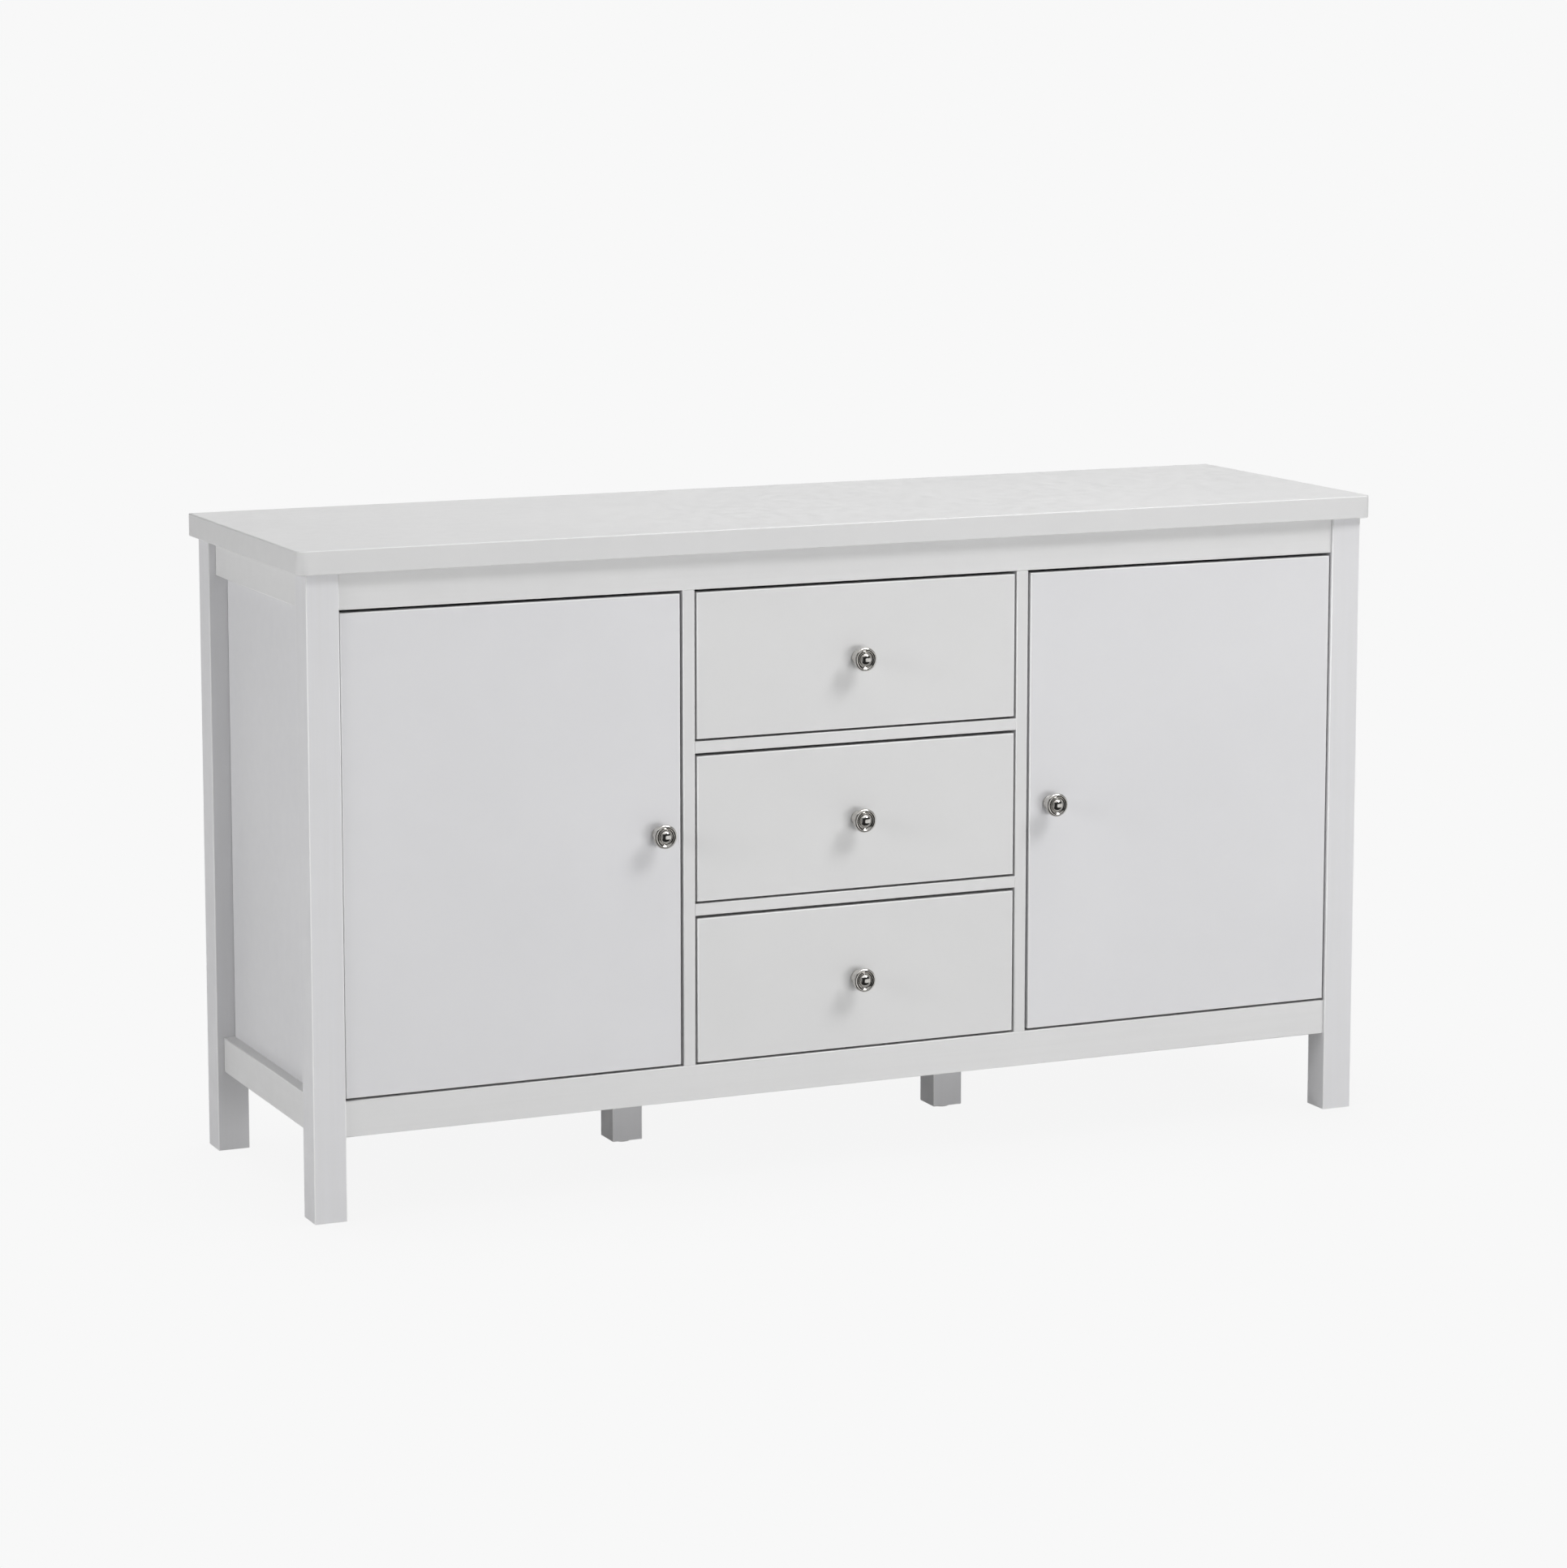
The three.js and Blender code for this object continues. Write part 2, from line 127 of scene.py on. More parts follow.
def cupboard_faces(side):
    """The X of a cupboard's two inner faces: the end panel's, then the partition's."""
    panel_low, panel_high = limits(f"side_panel_{side}")
    partition_low, partition_high = limits(f"partition_{side}")
    if SIDES[side] < 0:
        return panel_high[X], partition_low[X]
    return panel_low[X], partition_high[X]


# ---- Materials ----


def add_node(tree, kind, inputs=None, **settings):
    """A shader node with its settings made and its inputs set or linked."""
    made = tree.nodes.new(kind)
    for name, value in settings.items():
        setattr(made, name, value)
    for name, value in (inputs or {}).items():
        if isinstance(value, bpy.types.NodeSocket):
            tree.links.new(value, made.inputs[name])
        else:
            made.inputs[name].default_value = value
    return made


def new_material(name, **constants):
    """An empty material with one Principled shader, its constant values set on it."""
    material = bpy.data.materials.new(name)
    material.use_nodes = True
    tree = material.node_tree
    tree.nodes.clear()
    shader = add_node(tree, "ShaderNodeBsdfPrincipled")
    for socket, value in constants.items():
        shader.inputs[socket.replace("_", " ")].default_value = value
    output = add_node(tree, "ShaderNodeOutputMaterial")
    tree.links.new(shader.outputs["BSDF"], output.inputs["Surface"])
    return material, tree, shader


def object_noise(tree, scale, detail=3.0, roughness=0.5, stretch=(1, 1, 1)):
    """Noise fixed to the piece, scaled in cycles per metre, as a factor from 0 to 1."""
    place = add_node(tree, "ShaderNodeTexCoord").outputs["Object"]
    mapping = add_node(tree, "ShaderNodeMapping", {"Vector": place, "Scale": stretch})
    inputs = {"Scale": scale, "Detail": detail, "Roughness": roughness}
    inputs["Vector"] = mapping.outputs["Vector"]
    return add_node(tree, "ShaderNodeTexNoise", inputs).outputs["Fac"]


def remap(tree, value, low, high, start=0.3, end=0.7):
    """The value's range from start to end, stretched to run from low to high."""
    inputs = {"Value": value, "From Min": start, "From Max": end, "To Min": low, "To Max": high}
    return add_node(tree, "ShaderNodeMapRange", inputs).outputs["Result"]


def blend_colours(tree, factor, first, second):
    """A colour that goes from the first to the second as the factor goes from 0 to 1."""
    made = add_node(tree, "ShaderNodeMix", {0: factor, 6: first, 7: second}, data_type="RGBA")
    return made.outputs[2]


def combine(tree, operation, first, second):
    """The result of a Math node on two values."""
    return add_node(tree, "ShaderNodeMath", {0: first, 1: second}, operation=operation).outputs[0]


def bump(tree, height, distance, strength=1.0, normal=None):
    """A normal that stands in for fine relief, laid over an earlier normal if given."""
    inputs = {"Height": height, "Distance": distance, "Strength": strength}
    if normal is not None:
        inputs["Normal"] = normal
    return add_node(tree, "ShaderNodeBump", inputs).outputs["Normal"]


def grey(value, warmth=0.0, blue=0.0):
    """An opaque near-white colour; warmth lifts red and lowers blue."""
    return (value * (1 + warmth), value, value * (1 - warmth + blue), 1.0)


def stretched(axis, along, across=1.0):
    """Mapping scales for a pattern drawn out along one axis."""
    scales = [across, across, across]
    scales[axis] = along
    return scales


def eased_mask(tree):
    """The faces that were marked as eased edges, as a factor."""
    return add_node(tree, "ShaderNodeAttribute", attribute_name="eased").outputs["Fac"]


def link_surface(tree, shader, colour, roughness, normal):
    """Links a patterned colour, roughness and relief to a material's shader."""
    tree.links.new(colour, shader.inputs["Base Color"])
    tree.links.new(roughness, shader.inputs["Roughness"])
    tree.links.new(normal, shader.inputs["Normal"])


def make_paint(name, value, grain=None, blue=0.0, highlight_value=0.84):
    """Satin white paint. Over solid wood the grain's long, faint ridges show through it;
    over board, with no grain, only the roller's fine stipple does. Eased edges carry a
    painted highlight, a lighter colour, and are a little smoother."""
    material, tree, shader = new_material(name, IOR=1.5, Specular_IOR_Level=0.45)
    clouds = object_noise(tree, scale=5.0, detail=4.0, roughness=0.55)
    stipple = object_noise(tree, scale=420.0, detail=2.0)
    waves = object_noise(tree, scale=38.0, detail=2.0)
    dull = grey(value * 0.985, 0.0, blue)
    fresh = grey(value * 1.012, 0.001, blue)
    tone = blend_colours(tree, remap(tree, clouds, 0.0, 1.0), dull, fresh)
    normal = bump(tree, waves, 0.04 * MM, 0.4)
    if grain is not None:
        ridges = object_noise(tree, 1.0, 5.0, 0.62, stretched(grain, 2.2, 120.0))
        pores = object_noise(tree, 1.0, 2.0, 0.5, stretched(grain, 18.0, 700.0))
        shade = remap(tree, ridges, 0.0, 0.30, start=0.42, end=0.72)
        tone = blend_colours(tree, shade, tone, grey(value * 0.93, 0.003))
        normal = bump(tree, ridges, 0.16 * MM, 0.6, normal)
        normal = bump(tree, pores, 0.05 * MM, 0.5, normal)
    normal = bump(tree, stipple, 0.035 * MM, 0.6, normal)

    # Eased edges are painted lighter, a painted highlight along them; the same mask makes them a little
    # smoother.
    highlight_and_smoothing = combine(tree, "MULTIPLY", eased_mask(tree), remap(tree, clouds, 0.75, 1.0))
    tone = blend_colours(tree, highlight_and_smoothing, tone, grey(highlight_value))
    satin = remap(tree, object_noise(tree, 55.0, 3.0), 0.36, 0.50)
    smoothing = combine(tree, "MULTIPLY", highlight_and_smoothing, 0.10)
    roughness = combine(tree, "SUBTRACT", satin, smoothing)
    link_surface(tree, shader, tone, roughness, normal)
    return material


def make_foil(name, value, grain):
    """White foil on board: a printed, lightly embossed wood figure under a soft sheen."""
    material, tree, shader = new_material(name, IOR=1.48, Specular_IOR_Level=0.4)
    figure = object_noise(tree, 1.0, 6.0, 0.6, stretched(grain, 3.0, 85.0))
    emboss = object_noise(tree, 1.0, 2.0, 0.5, stretched(grain, 40.0, 900.0))
    tone = blend_colours(
        tree, remap(tree, figure, 0.0, 1.0), grey(value * 0.955, 0.008), grey(value, 0.003)
    )
    # Eased edges are painted lighter: a painted highlight along them.
    foil_edge_highlight = combine(tree, "MULTIPLY", eased_mask(tree), 0.6)
    tone = blend_colours(tree, foil_edge_highlight, tone, grey(value * 1.06))
    roughness = remap(tree, figure, 0.42, 0.56)
    link_surface(tree, shader, tone, roughness, bump(tree, emboss, 0.05 * MM, 0.6))
    return material


def make_fibreboard():
    """The raw outer face of the thin back: pressed fibres in mixed greys and browns."""
    material, tree, shader = new_material("fibreboard", IOR=1.45, Specular_IOR_Level=0.25)
    clumps = object_noise(tree, 26.0, 5.0, 0.65)
    fibres = object_noise(tree, 1.0, 4.0, 0.7, stretched(X, 160.0, 620.0))
    brown, pale = (0.47, 0.42, 0.35, 1.0), (0.60, 0.55, 0.48, 1.0)
    tone = blend_colours(tree, remap(tree, clumps, 0.0, 1.0), brown, pale)
    flecks = remap(tree, fibres, 0.0, 0.5, start=0.5, end=0.75)
    tone = blend_colours(tree, flecks, tone, (0.30, 0.25, 0.20, 1.0))
    roughness = remap(tree, fibres, 0.68, 0.88)
    link_surface(tree, shader, tone, roughness, bump(tree, fibres, 0.12 * MM, 0.7))
    return material


def make_nickel():
    """Polished nickel: mirror-bright with a thin, cloudy tarnish and hairline scratches."""
    material, tree, shader = new_material("nickel", Metallic=1.0)
    tarnish = object_noise(tree, 190.0, 5.0, 0.6)
    hairlines = object_noise(tree, 1.0, 2.0, 0.5, stretched(X, 260.0, 5200.0))
    tarnished, bright = (0.50, 0.48, 0.45, 1.0), (0.70, 0.69, 0.67, 1.0)
    tone = blend_colours(tree, remap(tree, tarnish, 0.0, 1.0), tarnished, bright)
    roughness = remap(tree, tarnish, 0.15, 0.06)
    link_surface(tree, shader, tone, roughness, bump(tree, hairlines, 0.012 * MM, 0.5))
    return material


def make_steel():
    """Zinc-plated pressed steel: satin, with a drawn texture and a faint plating bloom."""
    material, tree, shader = new_material("steel", Metallic=1.0)
    bloom = object_noise(tree, 120.0, 4.0, 0.6)
    drawn = object_noise(tree, 1.0, 3.0, 0.6, stretched(Y, 240.0, 3600.0))
    dull, bright = (0.55, 0.56, 0.57, 1.0), (0.72, 0.73, 0.73, 1.0)
    tone = blend_colours(tree, remap(tree, bloom, 0.0, 1.0), dull, bright)
    roughness = remap(tree, bloom, 0.28, 0.42)
    link_surface(tree, shader, tone, roughness, bump(tree, drawn, 0.02 * MM, 0.6))
    return material


def make_plastic():
    """Off-white moulded plastic with a fine spark-eroded grain, polished by sliding."""
    material, tree, shader = new_material("moulded_plastic", IOR=1.49, Specular_IOR_Level=0.5)
    grain = object_noise(tree, 900.0, 2.0)
    polish = object_noise(tree, 1.0, 3.0, 0.6, stretched(Y, 6.0, 160.0))
    tone = blend_colours(
        tree, remap(tree, polish, 0.0, 1.0), grey(0.66, 0.012), grey(0.74, 0.008)
    )
    roughness = remap(tree, polish, 0.34, 0.55)
    link_surface(tree, shader, tone, roughness, bump(tree, grain, 0.03 * MM, 0.7))
    return material


WOOD_PAINT = [
    make_paint("paint_on_wood_x", 0.70, X),
    make_paint("paint_on_wood_y", 0.70, Y),
    make_paint("paint_on_wood_z", 0.69, Z, blue=0.02),
]
BOARD_PAINT = make_paint("paint_on_board", 0.685)
DOOR_PAINT = make_paint("paint_on_doors", 0.692, blue=0.02)
FOIL = [make_foil(f"white_foil_{'xyz'[axis]}", 0.76, axis) for axis in (X, Y, Z)]
# One paint in reality: the slab's top takes a lighter copy of it, a painted sheen, and the slab's edges a
# darker copy, painted shade.
TOP_PAINT_WITH_PAINTED_SHEEN = make_paint("paint_on_top", 0.745, highlight_value=0.76)
TOP_EDGE_PAINT_WITH_PAINTED_SHADE = make_paint("paint_on_top_edge", 0.662, highlight_value=0.72)
FIBREBOARD = make_fibreboard()
NICKEL = make_nickel()
STEEL = make_steel()
PLASTIC = make_plastic()


# ---- Mesh building ----


def new_mesh():
    """An empty bmesh with the face layer that marks eased edges."""
    bm = bmesh.new()
    bm.faces.layers.float.new("eased")
    return bm


def keep_mesh(name, bm):
    """The bmesh as a mesh with its faces turned outwards."""
    bmesh.ops.recalc_face_normals(bm, faces=bm.faces)
    mesh = bpy.data.meshes.new(name)
    bm.to_mesh(mesh)
    bm.free()
    return mesh


def make_object(name, bm, materials):
    """An object in the scene, made of the bmesh."""
    mesh = keep_mesh(name, bm)
    for material in materials:
        mesh.materials.append(material)
    made = bpy.data.objects.new(name, mesh)
    bpy.context.scene.collection.objects.link(made)
    return made


def finish_node(node, bm, *materials):
    """The finished piece that is shown in place of a CAD node and moves with its body."""
    piece = make_object("finished_" + node, bm, materials)
    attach(piece, BODY_OF[node])
    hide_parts(node)
    return piece


def add_hardware(name, bm, material, body):
    """Small fitted hardware that has no CAD node of its own."""
    piece = make_object(name, bm, [material])
    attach(piece, body)
    return piece


def add_block(bm, low, high):
    """An axis-aligned block between two corners. Returns its vertices."""
    made = bmesh.ops.create_cube(bm, size=1.0)["verts"]
    for vertex in made:
        vertex.co = Vector([a + (c + 0.5) * (b - a) for a, b, c in zip(low, high, vertex.co)])
    return made


def add_prism(bm, outline, axis, start, end):
    """A closed outline drawn out along an axis. The outline's numbers are the other two
    axes' coordinates, in X, Y, Z order."""
    def point(pair, depth):
        spot = list(pair)
        spot.insert(axis, depth)
        return spot

    first = [bm.verts.new(point(pair, start)) for pair in outline]
    last = [bm.verts.new(point(pair, end)) for pair in outline]
    bm.faces.new(first)
    bm.faces.new(last)
    for i in range(len(outline)):
        j = (i + 1) % len(outline)
        bm.faces.new([first[i], first[j], last[j], last[i]])
    bmesh.ops.recalc_face_normals(bm, faces=bm.faces)


def arc(centre, radius, start, end, steps):
    """Points on an arc between two angles in degrees, both ends included."""
    turns = [math.radians(start + (end - start) * i / steps) for i in range(steps + 1)]
    return [(centre[0] + radius * math.cos(t), centre[1] + radius * math.sin(t)) for t in turns]


def runs_along(edge, axis):
    """Whether a straight edge is parallel to an axis."""
    a, b = (vertex.co for vertex in edge.verts)
    return abs((b - a).normalized()[axis]) > 0.999


def lies_at(edge, axis, value):
    """Whether both ends of an edge have this coordinate."""
    return all(abs(vertex.co[axis] - value) < 0.01 * MM for vertex in edge.verts)


def ease(bm, radius, pick, segments=3):
    """Rounds the convex edges that pick chooses, and marks the new faces as eased."""
    chosen = [
        edge
        for edge in bm.edges
        if edge.is_manifold and edge.calc_face_angle_signed() > 0.5 and pick(edge)
    ]
    made = bmesh.ops.bevel(
        bm,
        geom=chosen,
        offset=radius,
        offset_type="OFFSET",
        segments=segments,
        profile=0.5,
        affect="EDGES",
        clamp_overlap=True,
    )
    layer = bm.faces.layers.float["eased"]
    for face in made["faces"]:
        face[layer] = 1.0
        face.smooth = True


def ease_front(bm, node):
    """Eases a door's or drawer front's edges, more round its face than round its back."""
    low, high = limits(node)
    ease(bm, FRONT_EASE, lambda edge: lies_at(edge, Y, low[Y]))
    ease(bm, FRONT_BACK_EASE, lambda edge: lies_at(edge, Y, high[Y]), 2)


def carve(bm, tool):
    """What is left of one closed mesh once another is cut out of it."""
    target = make_object("carved", bm, [])
    cutter = make_object("cutter", tool, [])
    modifier = target.modifiers.new("cut", "BOOLEAN")
    modifier.operation = "DIFFERENCE"
    modifier.solver = "EXACT"
    modifier.object = cutter
    left = bmesh.new()
    left.from_object(target, bpy.context.evaluated_depsgraph_get())
    for scratch in (target, cutter):
        mesh = scratch.data
        bpy.data.objects.remove(scratch)
        bpy.data.meshes.remove(mesh)
    return left


def facing(point, direction, spin=0.0):
    """A placement that puts the local +Z along a direction."""
    turn = Vector(direction).to_track_quat("Z", "Y").to_matrix().to_4x4()
    return Matrix.Translation(point) @ turn @ Matrix.Rotation(spin, 4, "Z")


def add_rod(bm, point, direction, radius, length, segments=20):
    """A closed cylinder centred on a point."""
    bmesh.ops.create_cone(
        bm,
        cap_ends=True,
        segments=segments,
        radius1=radius,
        radius2=radius,
        depth=length,
        matrix=facing(point, direction),
    )


def smooth_run(points, steps):
    """A Catmull-Rom curve through the points, from the first to the last."""
    def between(a, b, c, d, t):
        """One coordinate, a share t of the way from b to c."""
        square = (2 * a - 5 * b + 4 * c - d) * t * t
        cube = (3 * b - a - 3 * c + d) * t * t * t
        return 0.5 * (2 * b + (c - a) * t + square + cube)

    ends = [points[0], *points, points[-1]]
    curve = []
    for four in zip(ends, ends[1:], ends[2:], ends[3:]):
        for i in range(steps):
            curve.append(tuple(between(*values, i / steps) for values in zip(*four)))
    return [*curve, points[-1]]


def add_turned(bm, section, place, segments):
    """A section of (radius, height) pairs turned about the local Z axis. It starts and
    ends on the axis, which closes the shape."""
    rings = []
    for radius, height in section:
        if radius < 1e-7:
            rings.append([bm.verts.new(place @ Vector((0, 0, height)))])
            continue
        ring = []
        for i in range(segments):
            turn = 2 * math.pi * i / segments
            spot = Vector((radius * math.cos(turn), radius * math.sin(turn), height))
            ring.append(bm.verts.new(place @ spot))
        rings.append(ring)
    for lower, upper in zip(rings, rings[1:]):
        for i in range(segments):
            j = (i + 1) % segments
            corners = [lower[i % len(lower)], lower[j % len(lower)]]
            corners += [upper[j % len(upper)], upper[i % len(upper)]]
            face = bm.faces.new(list(dict.fromkeys(corners)))
            face.smooth = True


def crisp_edges(bm, degrees=32.0):
    """Marks each edge whose faces meet at more than the angle as sharp."""
    for edge in bm.edges:
        if edge.is_manifold and edge.calc_face_angle() > math.radians(degrees):
            edge.smooth = False


def add_copy(bm, mesh, place):
    """A copy of a finished mesh, placed by a matrix."""
    before = len(bm.verts)
    bm.from_mesh(mesh)
    bm.verts.ensure_lookup_table()
    bmesh.ops.transform(bm, matrix=place, verts=bm.verts[before:])


def in_metres(section):
    """A section written in millimetres, scaled."""
    return [(radius * MM, height * MM) for radius, height in section]


# ---- The frame of the carcass ----


def make_top():
    (x0, y0, z0), (x1, y1, z1) = limits("top_panel")
    r = TOP_CORNER_RADIUS
    outline = [(x1, y1), (x0, y1)]
    outline += arc((x0 + r, y0 + r), r, 180, 270, 12)
    outline += arc((x1 - r, y0 + r), r, 270, 360, 12)
    bm = new_mesh()
    add_prism(bm, outline, Z, z0, z1)
    for face in bm.faces:
        face.smooth = abs(face.normal.x) > 0.01 and abs(face.normal.y) > 0.01
    ease(bm, TOP_EASE, lambda edge: lies_at(edge, Z, z0) or lies_at(edge, Z, z1))
    # The up-facing top face gets the lighter copy of the paint, a painted sheen; the rest gets the darker
    # copy, painted shade.
    for face in bm.faces:
        face.material_index = 1 if face.normal.z > 0.99 else 0
    finish_node("top_panel", bm, TOP_EDGE_PAINT_WITH_PAINTED_SHADE, TOP_PAINT_WITH_PAINTED_SHEEN)


def make_legs():
    rows = ("front", "back", "middle")
    for node in [f"leg_{row}_{side}" for row in rows for side in SIDES]:
        low, high = limits(node)
        bm = new_mesh()
        add_block(bm, low, high)
        ease(bm, LEG_EASE, lambda edge: runs_along(edge, Z))
        ease(bm, SOLE_EASE, lambda edge: lies_at(edge, Z, low[Z]))
        finish_node(node, bm, WOOD_PAINT[Z])


def add_seamed_board(bm, low, high, outward):
    """A board that stands between two legs. The outer part of its thickness stops short of
    both of them, which leaves a fine, dark seam beside each leg."""
    inner, outer = (low[X], high[X]) if outward > 0 else (high[X], low[X])
    shoulder = outer - outward * SEAM_DEPTH
    near, far = low[Y] + SEAM_WIDTH, high[Y] - SEAM_WIDTH
    outline = [(inner, low[Y]), (shoulder, low[Y]), (shoulder, near), (outer, near)]
    outline += [(outer, far), (shoulder, far), (shoulder, high[Y]), (inner, high[Y])]
    add_prism(bm, outline, Z, low[Z], high[Z])


def make_rails():
    """Rails are eased along their outer long edges only."""
    outer_faces = {
        "front_rail_top": (X, Y, -1),
        "front_rail_bottom": (X, Y, -1),
        "drawer_rail_upper": (X, Y, -1),
        "drawer_rail_lower": (X, Y, -1),
        "back_rail_bottom": (X, Y, 1),
    }
    for side, sign in SIDES.items():
        outer_faces[f"side_rail_top_{side}"] = (Y, X, sign)
        outer_faces[f"side_rail_bottom_{side}"] = (Y, X, sign)
    for node, (length_axis, face_axis, outward) in outer_faces.items():
        low, high = limits(node)
        shown = low[face_axis] if outward < 0 else high[face_axis]
        bm = new_mesh()
        if face_axis == X:
            add_seamed_board(bm, low, high, outward)
        else:
            add_block(bm, low, high)
        ease(
            bm,
            FRAME_EASE,
            lambda edge: runs_along(edge, length_axis) and lies_at(edge, face_axis, shown),
        )
        finish_node(node, bm, WOOD_PAINT[length_axis])


def shelf_pin_rows(side):
    """Heights of a cupboard's shelf-pin holes, and the depths of its two rows."""
    shelf_low, shelf_high = limits(f"shelf_{side}")
    pin_height = shelf_low[Z] - PIN_HOLE_RADIUS
    steps = range(-PIN_HOLES_EACH_WAY, PIN_HOLES_EACH_WAY + 1)
    heights = [pin_height + step * PIN_HOLE_PITCH for step in steps]
    depths = [shelf_low[Y] + PIN_HOLE_EDGE_DISTANCE, shelf_high[Y] - PIN_HOLE_EDGE_DISTANCE]
    return heights, depths


def drill_pin_holes(bm, side, face_x):
    """Two rows of blind holes for shelf pins, in the board face at face_x."""
    drills = new_mesh()
    heights, depths = shelf_pin_rows(side)
    for z in heights:
        for y in depths:
            add_rod(drills, (face_x, y, z), (1, 0, 0), PIN_HOLE_RADIUS, 2 * PIN_HOLE_DEPTH)
    return carve(bm, drills)


def make_end_panels():
    for side, sign in SIDES.items():
        node = f"side_panel_{side}"
        low, high = limits(node)
        bm = new_mesh()
        add_seamed_board(bm, low, high, sign)
        end_x, _ = cupboard_faces(side)
        finish_node(node, drill_pin_holes(bm, side, end_x), DOOR_PAINT)


def make_partitions():
    """Partitions, notched at the top to pass behind the front rail."""
    rail_low, rail_high = limits("front_rail_top")
    for side in SIDES:
        node = f"partition_{side}"
        (x0, y0, z0), (x1, y1, z1) = limits(node)
        outline = [(y0, z0), (y1, z0), (y1, z1), (rail_high[Y], z1)]
        outline += [(rail_high[Y], rail_low[Z]), (y0, rail_low[Z])]
        bm = new_mesh()
        add_prism(bm, outline, X, x0, x1)
        ease(bm, FRAME_EASE, lambda edge: runs_along(edge, Z) and lies_at(edge, Y, y0))
        _, cupboard_x = cupboard_faces(side)
        finish_node(node, drill_pin_holes(bm, side, cupboard_x), BOARD_PAINT)


def make_inner_boards():
    for node in ("bottom_panel", "shelf_left", "shelf_right"):
        low, high = limits(node)
        bm = new_mesh()
        add_block(bm, low, high)
        ease(bm, FRAME_EASE, lambda edge: runs_along(edge, X) and lies_at(edge, Y, low[Y]))
        finish_node(node, bm, FOIL[X])


def make_back():
    """A thin back with one V groove down its middle, where such a back folds flat for packing."""
    (x0, y0, z0), (x1, y1, z1) = limits("back_panel")
    groove_half = 1.2 * MM
    groove_floor = y0 + 0.8 * MM
    outline = [(x0, y0), (x1, y0), (x1, y1)]
    outline += [(groove_half, y1), (0.0, groove_floor), (-groove_half, y1), (x0, y1)]
    bm = new_mesh()
    add_prism(bm, outline, Z, z0, z1)
    for face in bm.faces:
        face.material_index = 1 if face.normal.y < -0.9 else 0
    finish_node("back_panel", bm, FIBREBOARD, FOIL[Z])


# ---- Doors and drawers ----


def make_door_panels():
    for side in SIDES:
        node = f"door_{side}_panel"
        low, high = limits(node)
        bm = new_mesh()
        add_block(bm, low, high)
        ease_front(bm, node)
        drills = new_mesh()
        for row in HINGE_ROWS:
            cup = middle(f"door_{side}_cup_{row}")
            add_rod(drills, (cup[X], high[Y], cup[Z]), (0, 1, 0), BORE_RADIUS, 2 * BORE_DEPTH, 48)
        finish_node(node, carve(bm, drills), DOOR_PAINT)


def make_drawer_fronts():
    for drawer in DRAWERS:
        node = f"drawer_{drawer}_front"
        bm = new_mesh()
        add_block(bm, *limits(node))
        ease_front(bm, node)
        finish_node(node, bm, BOARD_PAINT)


def make_drawer_sides():
    """Sides with a groove outside for the runner and a slot inside for the bottom."""
    groove_depth = 7.0 * MM
    groove_half = 8.5 * MM
    slot_depth = 6.0 * MM
    slot_play = 0.25 * MM
    for drawer in DRAWERS:
        bottom_low, bottom_high = limits(f"drawer_{drawer}_bottom")
        slot_low = bottom_low[Z] - slot_play
        slot_high = bottom_high[Z] + slot_play
        for side, sign in SIDES.items():
            node = f"drawer_{drawer}_side_{side}"
            (x0, y0, z0), (x1, y1, z1) = limits(node)
            outer, inner = (x0, x1) if sign < 0 else (x1, x0)
            groove = outer - sign * groove_depth
            slot = inner + sign * slot_depth
            mid = (z0 + z1) / 2
            outline = [(outer, z0), (inner, z0), (inner, slot_low), (slot, slot_low)]
            outline += [(slot, slot_high), (inner, slot_high), (inner, z1), (outer, z1)]
            outline += [(outer, mid + groove_half), (groove, mid + groove_half)]
            outline += [(groove, mid - groove_half), (outer, mid - groove_half)]
            bm = new_mesh()
            add_prism(bm, outline, Y, y0, y1)
            ease(bm, DRAWER_TOP_EASE, lambda edge: runs_along(edge, Y) and lies_at(edge, Z, z1))
            ease(bm, DRAWER_SIDE_END_EASE, lambda edge: lies_at(edge, Y, y1), 2)
            finish_node(node, bm, FOIL[Y])


def make_drawer_backs_and_bottoms():
    for drawer in DRAWERS:
        back = f"drawer_{drawer}_back"
        low, high = limits(back)
        bm = new_mesh()
        add_block(bm, low, high)
        ease(bm, DRAWER_TOP_EASE, lambda edge: runs_along(edge, X) and lies_at(edge, Z, high[Z]))
        finish_node(back, bm, FOIL[X])
        bottom = f"drawer_{drawer}_bottom"
        low, high = limits(bottom)
        bm = new_mesh()
        add_block(bm, low, high)
        ease(bm, DRAWER_BOTTOM_EASE, lambda edge: lies_at(edge, Y, high[Y]), 2)
        finish_node(bottom, bm, FOIL[X])


# ---- Knobs and screws ----


def knob_section(projection, rim):
    """Half of a knob's section: base flange, waisted stem, and a dished head with a
    rounded rim and a domed centre. Pairs of radius and distance from the front, in mm."""
    flange = [(10.0, 0.0), (10.0, 1.2)]
    neck = [(9.7, 1.8), (8.8, 3.4), (7.4, 6.6), (6.8, 10.2), (7.1, 13.4)]
    under = [(8.4, 16.0), (11.6, 17.8), (14.6, 19.1)]
    edge = [(rim - 0.3, 20.4), (rim, 21.9), (rim - 0.4, 23.8), (rim - 1.6, 25.2)]
    dish = [(rim - 2.7, 25.5), (rim - 4.0, 24.9), (rim - 5.2, 23.7), (rim - 6.3, 23.1)]
    dome = [(rim - 7.2, 23.0), (8.4, 24.2), (7.4, 26.0), (5.4, 27.7), (2.8, 28.7)]
    body = smooth_run(neck + under + edge + dish, 5)
    top = smooth_run([dish[-1], *dome, (0.0, projection)], 5)
    return [(0.0, 0.0), *flange, *body, *top[1:]]


